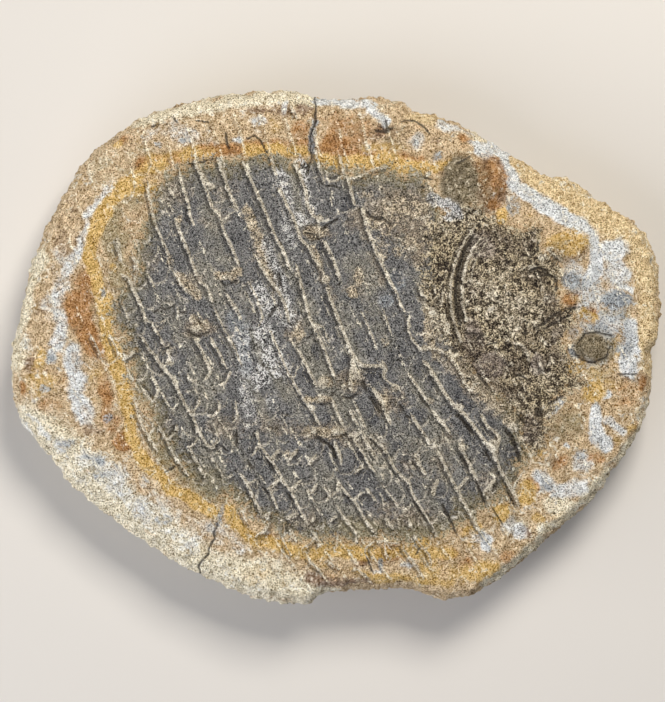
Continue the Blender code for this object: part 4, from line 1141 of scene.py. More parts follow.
ROCK_PATCHES = {
    "cream": (
        (58, -41, 5, 2.6, 1), (12, 63.5, 5, 1.5, 0.7), (47, -47, 4, 2.5, 0.7), (-60, 55, 4, 3, 0.4),
        (-18, -57, 8, 2.6, 0.7), (-40, -48, 6, 3, 0.6), (80, -20, 2, 5, 0.8), (55, -48, 3, 2.4, 0.9),
        (-82, 0, 2.6, 6, 0.8), (3, 64, 6, 1.6, 0.8), (81.5, 5, 2, 8, 0.5), (-62, 48, 5, 4, 0.4),
        (-70, 42, 3, 5, 0.3),
    ),
    "tan": (
        (24, 60, 7, 2.5, 0.8), (-45, -45.5, 6, 2.5, 0.4), (-20, -59, 6, 2.5, 0.5), (22, -60, 8, 2.5, 0.7),
        (60, -45, 5, 3, 0.5),
    ),
    "umber": (
        (49.5, -49, 2, 1.8, 0.8), (14, -61, 5, 1.6, 0.3), (-69, 33, 3.5, 9, 0.35),
        (-64, -21.5, 4.5, 2, 0.5), (26, 53.5, 1.8, 1.2, 0.6), (-8, 62, 2.5, 1.4, 0.8),
        (6.5, -55.5, 2.2, 2.3, 0.8), (15.2, -54, 1.6, 2.6, 0.8), (28.2, -53, 1.4, 2, 0.7),
        (12, 56, 2.2, 1.8, 0.9), (-71, 29, 2.6, 7, 0.4), (40.6, 44.6, 4.4, 6, 0.9),
        (62.5, 12.5, 2.5, 3, 0.9), (-1.5, 53, 2.5, 2.6, 0.5), (61, 27, 4, 3, 0.3), (37.8, 44, 3, 6, 0.7),
        (40.8, 42.5, 5, 8.4, 0.85), (-79, -5, 2.4, 3, 0.75), (-65.5, 8, 2.5, 6, 0.35), (3, 54, 8, 4, 0.3),
        (14, 55, 8, 4, 0.4), (10, -55, 8, 2, 0.35), (30, -54, 6, 2, 0.3), (-14.5, 62.5, 2.5, 1.2, 0.3),
        (61, 26.2, 5.6, 4.2, 0.7), (-76.5, 8, 2, 6, 0.35),
    ),
    "chalk": (
        (-74, -2, 2, 2, 0.8), (-40, 55.4, 9, 3.4, 0.5), (-33, 52.8, 4, 2, 0.5), (-47, 54.5, 4, 3, 0.45),
        (12.5, 58.7, 1.7, 1.9, 0.9), (21, 53.6, 3, 2.4, 0.7), (72.5, 25, 4.2, 3.4, 1.15),
        (73.5, 19.3, 4.6, 3.6, 0.7), (70.4, -12.6, 2.1, 1.5, 1), (64.6, -30, 3.4, 3.6, 0.6),
        (39.4, -50.6, 1.9, 2.7, 1), (37, -57.6, 1.5, 1.5, 0.8), (11.3, -58.8, 2, 1.1, 0.7),
        (18.2, -57, 2, 0.9, 0.9), (-25, -53, 2, 1.5, 0.6), (-20, 56.5, 3, 2, 0.4), (60.2, -26, 1, 1, 0.8),
        (-13, 62.6, 1, 2, 0.7), (-26, 54, 1.6, 1, 0.9), (-19.5, 58.5, 2.5, 1.5, 0.8),
        (30, 57.5, 5, 1.8, 0.7), (37, 53.3, 3.5, 1.6, 0.8), (-81, 0, 2.4, 5, 0.35), (38, -49.3, 3, 2, 0.6),
        (-78, -12, 2, 3, 0.35), (74.6, -1, 2.5, 5, 0.6), (66, 13, 5, 7, 0.55), (70, 2, 4, 6, 0.55),
        (62.5, 20, 3, 3, 0.5), (70, 14, 8, 11, 0.5), (67, 0, 5, 7, 0.4), (-40, 57, 8, 3, 0.35),
        (-72, 20, 2.5, 8, 0.35), (-74, 10, 2.5, 6, 0.35), (31, 35.2, 1.7, 2, 1), (68, -22, 2, 4, 0.6),
        (62, -36, 3, 2.5, 0.6), (71, 6, 4.5, 3, 0.75), (53, 37, 2.4, 1.6, 1), (-64, 34.5, 2, 4, 0.7),
    ),
    "slate": (
        (73.4, 12.2, 5, 2.6, 1), (61.6, 17.2, 3.4, 2.8, 0.8), (67.6, 20.5, 1.8, 3, 0.5),
        (46.6, 36.4, 2.2, 3.2, 0.6), (-67, -4, 3.2, 2.4, 0.45), (-74, -2.4, 1.6, 1.3, 0.7),
        (62.6, -1, 1.6, 2.5, 0.9), (74, 4.6, 3, 1.3, 0.6), (55.6, -36.6, 2, 2, 0.7),
        (64, -28.4, 1.7, 2, 0.6), (26.4, 49.8, 1.7, 1.3, 0.7), (20.6, 53.4, 1.7, 1.2, 0.7),
        (-61.5, -33.4, 3.4, 1.6, 0.6), (-75.5, -11, 2, 1.5, 0.6), (-71, -25.5, 4, 1.2, 0.5),
        (75.4, 2, 2.2, 5.4, 0.65), (54, 37, 2.6, 1.2, 0.5), (16, 17, 3, 3.2, 0.7),
        (13.2, 12.2, 2.2, 2.2, 0.6), (73, 8, 3.5, 1.8, 0.5), (-46, 53, 1.5, 1, 0.7),
        (-40, 54, 1.5, 1, 0.6), (12, -56.2, 1.1, 2.2, 0.9), (38, -48.5, 1, 1.5, 0.7),
        (-60, 14, 0.9, 1.8, 0.7), (-59, -18, 2, 1.2, 0.7), (63.5, 16.5, 3.5, 3, 0.6), (70, -3, 2, 4, 0.5),
        (62, 4, 2, 3, 0.6), (65, 8, 3, 5, 0.55), (71, 2, 3, 3, 0.5), (66.5, 16, 3.5, 3, 0.5),
        (68, 8, 6, 9, 0.35), (64, -2, 4, 5, 0.35), (60, 22, 4, 3, 0.3), (67.5, 5.6, 5, 1.8, 0.6),
        (-45, -45.5, 3.4, 1.8, 0.6),
    ),
    "olive": (
        (-57.5, 30, 4.6, 9, 0.85), (-53, 38, 4, 4, 0.6), (-56, 19, 3.4, 6, 0.8), (-50, -13, 2.4, 5, 0.5),
        (32.4, 43.6, 4.6, 5.6, 0.95), (34, 38, 4, 2, 0.6), (68.6, 0, 6.2, 5.2, 1.1),
        (60.5, -20, 4.6, 5.6, 0.75), (33, -47, 4, 2.4, 0.4), (-54, 46.5, 4, 3, 0.4), (-58, 22, 4, 8, 0.4),
        (-56, 38, 4, 5, 0.4), (70, 0, 4, 3, 0.4), (18, 54, 6, 4, 0.5), (14, 59, 5, 2.5, 0.4),
        (-60, 34, 4, 8, 0.4), (-50, 50, 6, 2.4, 0.4), (-60, 45, 4, 4, 0.4), (69, 15.4, 5.6, 5, 0.3),
        (72.5, 8.4, 4.6, 2.2, 0.75), (69, -6, 5, 2.8, 0.65),
    ),
    "rust": (
        (-66.4, 10, 4, 7.2, 1), (-54.8, -24.6, 2.8, 2.8, 1.5), (-82, -10.6, 1.7, 2.5, 1),
        (-9.2, 56, 2.8, 3.4, 0.75), (-1.6, 53.4, 2.3, 3.5, 0.85), (4, 56, 8, 5.2, 0.7),
        (40.8, 43.2, 5.2, 7.4, 0.8), (41, 37.5, 2.6, 2.4, 0.8), (76.4, -12.4, 4, 4.4, 0.35),
        (80.4, -9.4, 1.7, 2.8, 0.8), (68, -29, 3, 1.9, 0.7), (58.4, -29.6, 3, 2, 0.7),
        (52.7, -36.6, 1.1, 1.6, 0.9), (61.2, 12.9, 2.8, 1.4, 0.75), (34, 54.8, 2.2, 1.7, 0.7),
        (-56, 54.4, 1.9, 2.1, 0.6), (-8, -54.6, 1.6, 1.2, 0.6), (66.2, 8.6, 2.6, 1.9, 1.05),
        (79, -20.5, 2, 2.4, 0.8), (27.6, 46, 2.4, 1.6, 0.6), (35.5, -56.5, 4, 2.6, 0.5),
        (44, -55, 3, 2, 0.5), (2, -53, 2, 1.8, 0.8), (-26, -45, 1.8, 1.4, 0.8),
        (-22, -48.5, 1.8, 1.2, 0.7), (-16, -50, 1.8, 1.1, 0.7), (-10, -53, 1.4, 1.1, 0.7),
        (51.5, -36, 1.6, 2.3, 0.8), (1.5, 61, 2, 1, 0.7), (75, -13, 4, 5, 0.3), (-64.5, 14, 4, 9, 0.7),
        (-58, -20, 3, 3, 0.6), (8, 55, 6, 4, 0.5), (-4, 57, 3, 3, 0.4),
    ),
    "gold": (
        (43, -43, 2.7, 3, 1), (50, -38, 3.4, 4, 0.9), (37, -46.6, 2, 2.4, 0.9), (50, 34.4, 2, 1.7, 0.6),
        (62, -5, 4, 2.2, 0.6), (67.4, -11.6, 3.6, 2.8, 0.9), (69, -8.6, 3.4, 1.1, 0.7),
        (77.6, -21.4, 2.2, 2.6, 0.7), (73, -25, 2, 2, 0.7), (53.6, -27.8, 1, 1, 0.8),
        (53, -45, 2.3, 2.1, 0.8), (-62, -12, 3, 9, 0.3), (-77, -9, 5, 5, 0.45), (30, -50, 8, 2.4, 0.5),
        (14, 51.5, 9, 2, 0.3), (-17, 57.6, 4, 2.4, 0.45), (-4.6, -56.5, 4, 1.4, 0.4),
        (22, -50.7, 3, 1.3, 0.8), (34, -48, 1.5, 1.5, 0.9), (-57, 53.5, 2.2, 1.8, 0.8),
        (-58, 13, 0.9, 1.4, 0.8), (-57.5, 21, 0.9, 1.3, 0.8), (-77, -3, 1.6, 3.6, 0.7),
        (60.6, 27.2, 5.4, 4.1, 0.95), (72, -10, 4, 2, 0.5), (15, -52, 9, 1.5, 0.5),
        (57, 27.6, 3.2, 3, 0.7),
    ),
    "moss": (
        (66.6, 0.3, 4.9, 4.6, 1.1), (57.5, -20, 6, 6.5, 0.5), (32.6, 43, 6, 8.2, 1.05),
        (58.3, 25.2, 4, 3.4, 0.55), (46, -45, 3, 2, 0.5), (62, 14, 2, 2, 0.4), (65, -4, 3, 2, 0.5),
        (57, -30, 2, 2, 0.5), (36.5, 41, 3, 6.5, 0.6), (38.6, 42.5, 3, 8.6, 0.6),
        (41.5, 43, 4.4, 7.6, 0.18), (60.6, 26.4, 5.6, 4.2, 0.42),
    ),
}
print("stains of the rock:", len(ROCK_PATCHES))

# %% [markdown]
# ## Stains of the trunk
#
# Inside the trunk, brown is rock that still covers the scales, inky is their darkest enamel, and
# warm is the rusty tint along the shore. Dust is the pale crumbly filling of the mended break.

# %% Stains of the trunk
TRUNK_STROKES = {
    "brown": (
        (2.4, 0.5, 24, 16, 25, 8, 28, 0, 34, -10, 42, -17), (1.4, 0.6, -6, 25, -3, 19, -1, 13),
        (1.6, 0.5, 7, 33, 8, 26, 12, 18), (2.4, 0.5, -24, -20, -10, -21, 4, -24),
    ),
    "dust": (
        (2.2, 0.7, -14.3, 44, -13, 39, -11.7, 33, -10.8, 28),
        (1.4, 0.85, -9.5, 48.5, -8, 43, -7, 37.5, -6.5, 33),
        (1.8, 0.85, -17.8, 27.5, -16.3, 23, -15, 18.5, -13, 12),
        (2.6, 0.85, -19.5, 14.5, -15.5, 10, -12, 7), (3, 0.85, -19, 5, -17, 0, -14.5, -6),
        (2.4, 0.5, -25, 3, -23.7, -6, -22.5, -14, -22, -19),
        (1.3, 0.95, 25.8, 38.6, 28.4, 37.3, 30.8, 35.6, 32.4, 33.6),
    ),
}
TRUNK_PATCHES = {
    "brown": (
        (-37, 17, 4.4, 2.6, 0.5), (-35.5, 5.4, 5.4, 3.4, 0.8), (-27, 18, 4, 2.4, 0.5),
        (4.6, 14.4, 3.4, 3, 0.5), (4, -9.4, 5, 3.6, 0.7), (-4, -21.6, 6, 3.4, 0.8),
        (12.4, -14.6, 3, 4.6, 0.8), (17, 35, 9, 8, 0.9), (22, 27, 5, 8, 0.9), (-10.6, 4, 3.4, 4, 0.7),
        (-41, 40, 5, 5, 0.55), (6, 33, 4, 4, 0.6), (28, -31, 5, 5, 0.5), (-20, 27, 3, 6, 0.5),
        (10, -25, 4, 3, 0.6), (-31, 33, 5, 4, 0.4), (-28, -20.5, 7, 4, 0.5), (18, -44, 12, 4, 0.55),
        (-44, -3, 4, 5, 0.4), (-28, 42, 5, 5, 0.4), (6, 19, 4, 5, 0.3), (-5.6, 29.6, 4.4, 3, 0.8),
        (20, -30, 4, 8, 0.4), (-9, -45, 8, 4, 0.45), (-43, -20, 3, 6, 0.4), (-25, -30, 5, 4, 0.35),
        (17, -15, 3, 4, 0.6), (30, -22, 3, 5, 0.4), (-48, 22, 3, 4, 0.4), (40, -36, 4, 5, 0.5),
        (12, 38, 6, 6, 0.5),
    ),
    "dust": (
        (-9, 33, 2, 2.6, 0.8), (-42.8, -3.4, 2, 1.4, 0.5), (-21, 12, 1.4, 3, 0.55),
        (-19.5, -8, 3, 3.5, 1.1), (-16, -14, 1.8, 3, 0.5), (-11, 20, 1.6, 5, 0.4),
        (30.6, 34.3, 2.4, 1.6, 0.95),
    ),
    "inky": (
        (-46, 24, 2.2, 3.5, 0.48), (-24.5, 29, 2, 3, 0.54), (-42.3, -11, 1.2, 3, 0.48),
        (-4, 25.5, 1.4, 2, 0.8), (2.5, 37, 1.5, 3.5, 0.9), (4, 31.5, 2, 2.5, 0.6), (-1, 10, 2, 4, 0.6),
        (-2.5, 10.5, 2.5, 4, 0.7), (0.3, 3.5, 1, 4, 0.7), (-5, -1, 1.5, 3, 0.7), (-7.5, -7, 1.5, 2, 0.9),
        (3, -3, 1.2, 2.2, 0.8), (9, -7.5, 2.5, 2, 0.9), (10, -19, 2, 2.5, 0.8), (10.5, -15, 1.5, 2, 0.6),
        (-2, -18.5, 2, 1.8, 0.8), (15.5, -25.5, 1.5, 2, 0.8), (22.5, -18, 2, 3, 0.7),
        (19, -26, 1.3, 2, 0.6), (31.7, -12, 1.8, 2, 1), (33.5, -20, 1.5, 2, 0.8), (46, -28, 2.2, 4.5, 0.8),
        (40.5, -17.5, 1.8, 1, 0.9), (35.5, -16.5, 2, 1.8, 0.6), (21.5, -5, 2, 4, 0.6), (17, -4, 2, 3, 0.6),
        (24, -9, 1.5, 3, 0.6), (26.5, -3, 2, 2, 0.6), (6, -28.5, 1.6, 2.5, 0.8),
        (8.7, -33.5, 1.6, 1.5, 0.8), (3.2, -40, 1.5, 1.8, 0.8), (24, 22, 1.6, 4, 0.7),
        (16.5, 17.5, 2, 2.5, 0.6), (12.5, 14, 2, 2.5, 0.5), (8.5, -1, 1, 2, 0.5),
        (-8.5, -47.5, 1.5, 1.4, 0.9), (0, -49, 1.6, 1.3, 0.8), (-12, -46, 1, 1.2, 0.7),
        (-19.5, -44.5, 1.3, 1, 0.8), (-18.5, -37, 1.2, 1.2, 0.7), (-15, -37.5, 1, 2, 0.5),
        (29.5, -27.5, 1, 1.6, 0.6), (36, -38, 1.5, 2.5, 0.6), (28.5, -30, 0.8, 1.6, 0.8),
        (29, -43, 1, 2, 0.6), (37, -26, 1.5, 2.5, 0.5), (36, -30, 1.3, 2, 0.5), (22.5, 4.5, 1.3, 2.5, 0.5),
        (16, -2, 3, 4, 0.7), (14, -22, 2.5, 3, 0.6), (18, -30, 2.5, 4, 0.7), (13, -27, 2, 2, 0.5),
        (35, -14, 2, 3, 0.7), (40, -20, 2.5, 2.5, 0.7), (30, -8, 2, 3, 0.6), (5, -33, 3, 3, 0.5),
        (-8, -33, 3, 3, 0.35), (31, -3, 2.5, 3, 0.6), (-5, -30, 5, 6, 0.4), (10, -38, 10, 4, 0.45),
        (22, -30, 5, 6, 0.4), (5, -20, 6, 4, 0.35), (14, 24, 4, 4, 0.4),
    ),
    "warm": (
        (8, -47, 10, 3.5, 0.8), (22, -46.5, 8, 4, 0.9), (-33, -34, 6, 3, 0.6), (34, -41, 5, 4, 0.6),
        (-8, -47, 7, 3, 0.55), (-50, -8, 3, 8, 0.4), (-46, -22, 3, 5, 0.4), (16, 38, 6, 4, 0.45),
        (22, 30, 3, 6, 0.45), (-42, 43, 5, 3, 0.4), (10, 44, 8, 2, 0.5), (-20, 47, 8, 2, 0.35),
        (43, -32, 3, 5, 0.4), (-45, -27, 3, 3.5, 0.8),
    ),
}
print("stains of the trunk:", len(TRUNK_PATCHES))

# %% [markdown]
# ## Stains of the head
#
# In the head, skull is smoother bone, gloom the dark matter between the bones, and pale bone
# the broken bones that are lighter than the rest.

# %% Stains of the head
HEAD_STROKES = {
    "skull": (
        (2.4, 0.4, 30, -2, 37, -8, 44, -12),
    ),
}
HEAD_PATCHES = {
    "skull": (
        (38, 26, 4.5, 5, 0.8), (36, 2, 3.4, 6, 0.8), (40, -4.6, 5, 4.4, 1), (52.6, -4.4, 2.6, 3.4, 1),
        (43, 22, 3, 3, 0.5), (35, 14, 2.4, 4, 0.4), (56, 12, 3, 2.4, 0.5), (51, -21, 3, 5, 0.6),
        (47, 27, 4, 3, 0.4), (58, 3, 3, 3, 0.5),
    ),
    "gloom": (
        (51.5, 19, 4.5, 3, 0.8), (56, 8, 5, 2.6, 0.75), (47, -5, 4, 3, 0.6), (36, -1, 3, 5, 0.65),
        (33, 22, 1.6, 6, 0.8), (42, 29, 5, 2, 0.65), (33, 10, 2, 6, 0.75), (44, -12, 4, 4, 0.55),
        (52, -20, 3, 4.5, 0.65), (57, -2, 3, 3, 0.6), (28, 27, 3, 5, 0.4), (31, 8, 2, 6, 0.3),
        (40, -9, 3, 3, 0.6), (50, 2, 3, 3, 0.5), (54, 14, 3, 2.5, 0.5), (34, -6, 3, 3, 0.5),
        (50, 27, 3, 2, 0.5), (31.6, 13, 1, 5, 0.5), (40, -5, 3, 2.4, 0.5), (55, 1, 3, 3, 0.4),
    ),
    "pale_bone": (
        (46, 6, 5, 4, 0.6), (48, 12, 4, 4, 0.5), (37.5, 10, 2.5, 5, 0.4), (44, 20, 4, 3, 0.5),
        (56, 24, 2.5, 2, 0.6), (41, 3, 3, 3, 0.4), (33, 33, 4, 3, 0.5), (55, -8, 4, 2.5, 0.4),
        (47, -14, 3, 2, 0.4), (36, 17, 2, 4, 0.45), (27.5, 6, 2.6, 6, 0.7), (30, -2, 2.6, 4, 0.5),
        (36, -9, 4, 2.4, 0.5), (38, 26, 3, 3, 0.35), (50, 20, 3, 2.5, 0.4), (44, 10, 7, 7, 0.6),
        (52, 8, 4, 4, 0.4),
    ),
}
STROKES = {**ROCK_STROKES, **TRUNK_STROKES, **HEAD_STROKES}
PATCHES = {**ROCK_PATCHES, **TRUNK_PATCHES, **HEAD_PATCHES}
print("kinds of stain:", len(PATCHES))

# %% [markdown]
# ## Where each finish lies
#
# Each finish has a map, kept on the vertices as an attribute. The places are first shifted a
# little by noise, so that no patch is a neat oval, and more so on the steep rind. The shift reads
# the noise at the vertex's own height too, so a stain doesn't run straight down the rind. Only
# cream, tan and chalk reach over the split edge.

# %% Maps of the stains
FACE_START, FACE_SURE = EDGE_HEIGHT - 3.0, EDGE_HEIGHT - 1.2
WANDER_ON_FACE = 1.1
EXTRA_WANDER_ON_RIND = 3.0
WANDER_LUMP = 5.0
WANDER_LEVEL_ALONG, WANDER_LEVEL_UP = 90.0, 95.0
RIND_STAINS = ("cream", "tan", "chalk")


def stain_shift(x, y, z, on_face):
    """How far the stains are shifted by noise at each vertex."""
    wander = WANDER_ON_FACE + EXTRA_WANDER_ON_RIND * (1.0 - on_face)
    along_noise = swell(x, y, WANDER_LEVEL_ALONG + z, WANDER_LUMP)
    up_noise = swell(x, y, WANDER_LEVEL_UP + z, WANDER_LUMP)
    shift_x = wander * along_noise + swells("stain shiver along", x, y)
    shift_y = wander * up_noise + swells("stain shiver up", x, y)
    return shift_x, shift_y


def stain_maps(x, y, on_face):
    """How strongly each stain covers the vertices."""
    maps = {}
    for name, patches in PATCHES.items():
        maps[name] = drawn(x, y, STROKES.get(name, ()), patches)
        if name not in RIND_STAINS:
            maps[name] *= on_face
    return maps


# %% [markdown]
# ## Maps of the lines
#
# Lines are kept as three maps each: the signed gap to the line, its half width, and how strongly
# it shows. Seams are the faint cream row lines in the halo. They show most above and below the
# trunk, and fade out by the head, in the upper right and in the lower left, where the rock is
# plain.

# %% Maps of the lines
SEAM_STRENGTH = 0.26
SEAM_HALF_WIDTH = 0.3
SEAM_TRUNK_END = (-1.0, 2.0)
SEAM_HEAD_GAP = (-6.0, -2.0)
SEAM_LEAST = 0.35
SEAM_OUTER = (42.0, 50.0)
SEAM_RIGHT_END, SEAM_RIGHT_BOTTOM = (14.0, 22.0), (-30.0, -20.0)
SEAM_LEFT_END, SEAM_LEFT_TOP = (18.0, 24.0), (0.0, 10.0)
SCALE_EDGE_STRENGTH = 0.6
SCALE_EDGE_HALF_WIDTH = 0.28
KNOB_SHOWN = 0.8


def seam_share(x, y, trunk, head):
    """Where the row lines show as cream seams in the halo."""
    shown = smooth_step(trunk, *HALO_EDGE) * (1.0 - smooth_step(trunk, *SEAM_TRUNK_END))
    shown *= 1.0 - smooth_step(head, *SEAM_HEAD_GAP)
    shown *= SEAM_LEAST + (1.0 - SEAM_LEAST) * smooth_step(np.abs(y), *SEAM_OUTER)
    shown *= 1.0 - smooth_step(x, *SEAM_RIGHT_END) * smooth_step(y, *SEAM_RIGHT_BOTTOM)
    return shown * (1.0 - smooth_step(-x, *SEAM_LEFT_END) * smooth_step(-y, *SEAM_LEFT_TOP))


def side_width_cover(name, side, width, cover):
    """The three maps of one kind of line, by the attribute's name."""
    return {name + "_side": side, name + "_width": width, name + "_cover": cover}


def edge_maps(x, y, trunk, head, on_face):
    """Maps of the drawn lines, the seams, the scale edges and their knobs."""
    maps = side_width_cover("ridge", *line_maps(x, y, RIDGES))
    maps |= side_width_cover("crevice", *line_maps(x, y, CREVICE_LINES))
    gap = row_gap(x, y)
    cover = SEAM_STRENGTH * seam_share(x, y, trunk, head) * on_face * (np.abs(gap) < EDGE_REACH)
    maps |= side_width_cover("seam", gap, np.full_like(x, SEAM_HALF_WIDTH), cover)
    gap, shown, knobs = scale_edges(x, y)
    width = np.full_like(x, SCALE_EDGE_HALF_WIDTH)
    maps |= side_width_cover("scale", gap, width, SCALE_EDGE_STRENGTH * shown)
    maps["knob"] = np.maximum(spots(x, y, KNOB_SPOTS), KNOB_SHOWN * knobs)
    maps["hole"] = spots(x, y, CREVICE_SPOTS)
    return maps


# %% [markdown]
# ## All the maps together
#
# The row map is the place along the trunk, so that streaks can follow the scale rows. The plate
# map is noise stretched down the rows, so that neighbouring scales of a row tend to share their
# tone.

# %% All maps
CRUMB_SHIFT = 0.4
PLATE_ALONG, PLATE_DOWN = 1.7, 0.55
PLATE_LEVEL, PLATE_LUMP = 50.0, 9.0


def finish_maps(x, y, z):
    """All the maps for these vertices, by the attribute's name."""
    on_face = smooth_step(z, FACE_START, FACE_SURE)
    shift_x, shift_y = stain_shift(x, y, z, on_face)
    maps = stain_maps(x + shift_x, y + shift_y, on_face)
    maps["on_face"] = on_face
    maps["trunk"] = depth_inside(x + shift_x, y + shift_y, trunk_region)
    maps["head"] = depth_inside(x + shift_x, y + shift_y, head_region)
    maps |= edge_maps(x, y, maps["trunk"], maps["head"], on_face)
    crumb_x, crumb_y = x + CRUMB_SHIFT * shift_x, y + CRUMB_SHIFT * shift_y
    maps["crumb"] = drawn(crumb_x, crumb_y, CRUMB_LINES, CRUMB_SPOTS)
    place = row_place(x, y)
    maps["row"] = MM * place
    maps["plate"] = swell(PLATE_ALONG * place, PLATE_DOWN * y, PLATE_LEVEL, PLATE_LUMP)
    return maps


# %% [markdown]
# ## The stone as an object
#
# The maps are worked out in millimetres, before the mesh is scaled to metres. The object stays at
# the origin, unturned and unscaled, so its own coordinates are the shared frame's.

# %% Make the object
def make_stone(sheet):
    """Scales the mesh to metres and makes the object, with its maps as attributes."""
    maps = finish_maps(*coordinates(sheet.verts).T)
    bmesh.ops.scale(sheet, vec=(MM, MM, MM), verts=sheet.verts)
    sheet.verts.layers.int.remove(sheet.verts.layers.int["border"])
    mesh = bpy.data.meshes.new("fossil_stone")
    sheet.to_mesh(mesh)
    sheet.free()
    mesh.shade_smooth()
    for name, values in maps.items():
        attribute = mesh.attributes.new(name, "FLOAT", "POINT")
        attribute.data.foreach_set("value", values.astype(np.float32))
    stone = bpy.data.objects.new("fossil_stone", mesh)
    bpy.context.scene.collection.objects.link(stone)
    return stone


stone = make_stone(sheet)
print("vertices and maps:", len(stone.data.vertices), len(stone.data.attributes))

# %% [markdown]
# ## The stone's material
#
# Every finish here is stone, so all share one shader and differ in colour and grain. Its nodes
# are added to one tree, cell by cell. One helper turns sRGB hex into linear colour, by the
# standard's own curve, and one adds a node with its settings and links.

# %% Node and colour helpers
# Split siltstone: a hard stone of pressed silt. It was split with a hammer along the fish, which
# left the bare grains as they broke, and its rind weathered in the ground. It gives the eye a
# dry, matt, speckled surface. It is no metal, and its refractive index is the usual 1.5.
siltstone = bpy.data.materials.new("split_siltstone_nodule")
siltstone.use_nodes = True
tree = siltstone.node_tree


def linear(hex_colour):
    """Linear colour from sRGB hex."""
    shares = [int(hex_colour[place : place + 2], 16) / 255.0 for place in (0, 2, 4)]
    return (*[s / 12.92 if s <= 0.04045 else ((s + 0.055) / 1.055) ** 2.4 for s in shares], 1.0)


def add(kind, sockets=(), out=0, **settings):
    """Adds a node with its settings, sets or links its sockets, and returns one output."""
    node = tree.nodes.new("ShaderNode" + kind)
    for name, value in settings.items():
        setattr(node, name, value)
    for socket, value in dict(sockets).items():
        if isinstance(value, bpy.types.NodeSocket):
            tree.links.new(value, node.inputs[socket])
        else:
            node.inputs[socket].default_value = value
    return node.outputs[out]


# %% [markdown]
# ### Grain
#
# Split rock sparkles unevenly. Four noises make its grain: grains of 0.33 mm, clots of 1.3 mm,
# stains of 7 mm, and streaks of 1 mm that run down the scale rows. Real siltstone is finer than
# a tenth of a millimetre, so it is drawn coarser here, at the finest size that still shows.

# %% Grain of the rock
NOISE_ROUGHNESS = 0.6
STREAK_SQUEEZE = 0.2  # a streak is five times as long as it is wide
NOISES = (  # name, size, detail, distortion
    ("fine", 0.33 * MM, 1.0, 0.3),
    ("clot", 1.3 * MM, 2.0, 0.8),
    ("stain", 7.0 * MM, 3.0, 0.8),
    ("streak", 1.0 * MM, 2.0, 0.0),
)

place = add("TexCoord", out="Object")
row = add("Attribute", attribute_name="row", out="Fac")
up = add("SeparateXYZ", {0: place}, out="Y")
up = add("Math", {0: up, 1: STREAK_SQUEEZE}, operation="MULTIPLY")
down_rows = add("CombineXYZ", {0: row, 1: up})
grain = {}
for name, size, detail, distortion in NOISES:
    sockets = {"Scale": 1.0 / size, "Detail": detail, "Distortion": distortion}
    sockets["Roughness"] = NOISE_ROUGHNESS
    sockets["Vector"] = down_rows if name == "streak" else place
    grain[name] = add("TexNoise", sockets)
print("noises of the grain:", *grain)

# %% [markdown]
# ### One kind of stone, and where it lies
#
# A colour ramp turns the grain into one kind of stone, from its dark pores to its light grains.
# Where that stone lies comes from its map, with the soft edge broken up by the same grain, so
# that two stones meet raggedly as they do in nature. A mix says how strongly each noise counts.

# %% Stone tones and patches
NOISE_MIDDLE = 0.5
TONE_SPREAD = 0.085
PATCH_EDGE = (0.15, 0.95)


def mixed(mix, others=(), start=0.0):
    """Sum of the mix's noises, which are centred on zero, a start, and other weighted sockets."""
    total = start - NOISE_MIDDLE * sum(mix.values())
    for socket, weight in (*others, *((grain[name], weight) for name, weight in mix.items())):
        total = add("Math", {0: socket, 1: weight, 2: total}, operation="MULTIPLY_ADD")
    return total


def stepped(mix, others, edge, start=0.0):
    """0 where that sum is below the edge's first value, 1 above its second, soft between them."""
    sockets = {0: mixed(mix, others, start), 1: edge[0], 2: edge[1]}
    return add("MapRange", sockets, interpolation_type="SMOOTHSTEP")


def stone_tones(tones, mix):
    """Colour of one kind of stone: its grains run through its dark, middle and light tones."""
    colour = add("ValToRGB", {0: mixed(mix, start=NOISE_MIDDLE)})
    ramp = colour.node.color_ramp.elements
    dark, middle, light = map(linear, tones)
    ramp[0].position, ramp[1].position = NOISE_MIDDLE - TONE_SPREAD, NOISE_MIDDLE + TONE_SPREAD
    ramp[0].color, ramp[1].color = dark, light
    ramp.new(NOISE_MIDDLE).color = middle
    return colour


def patch_share(name, mix, edge=PATCH_EDGE):
    """Share of a finish: its map, with the soft edge broken up by the grain."""
    share = add("Attribute", attribute_name=name, out="Fac")
    return stepped(mix, [(share, 1.0)], edge)


def lay_over(colour, layer, mix, edge=PATCH_EDGE):
    """Lays one layer's stone over the colour so far, where its map says."""
    name, tones, ragged_by = layer
    share, above = patch_share(name, ragged_by, edge), stone_tones(tones, mix)
    return add("Mix", {0: share, 6: colour, 7: above}, out=2, data_type="RGBA")


# %% [markdown]
# ### The rock's layers
#
# The finishes are laid over each other as they formed. Weathered siltstone comes first, then the
# bleached and stained patches. Each layer is its map, its three tones, and the mix that breaks
# up its edge.

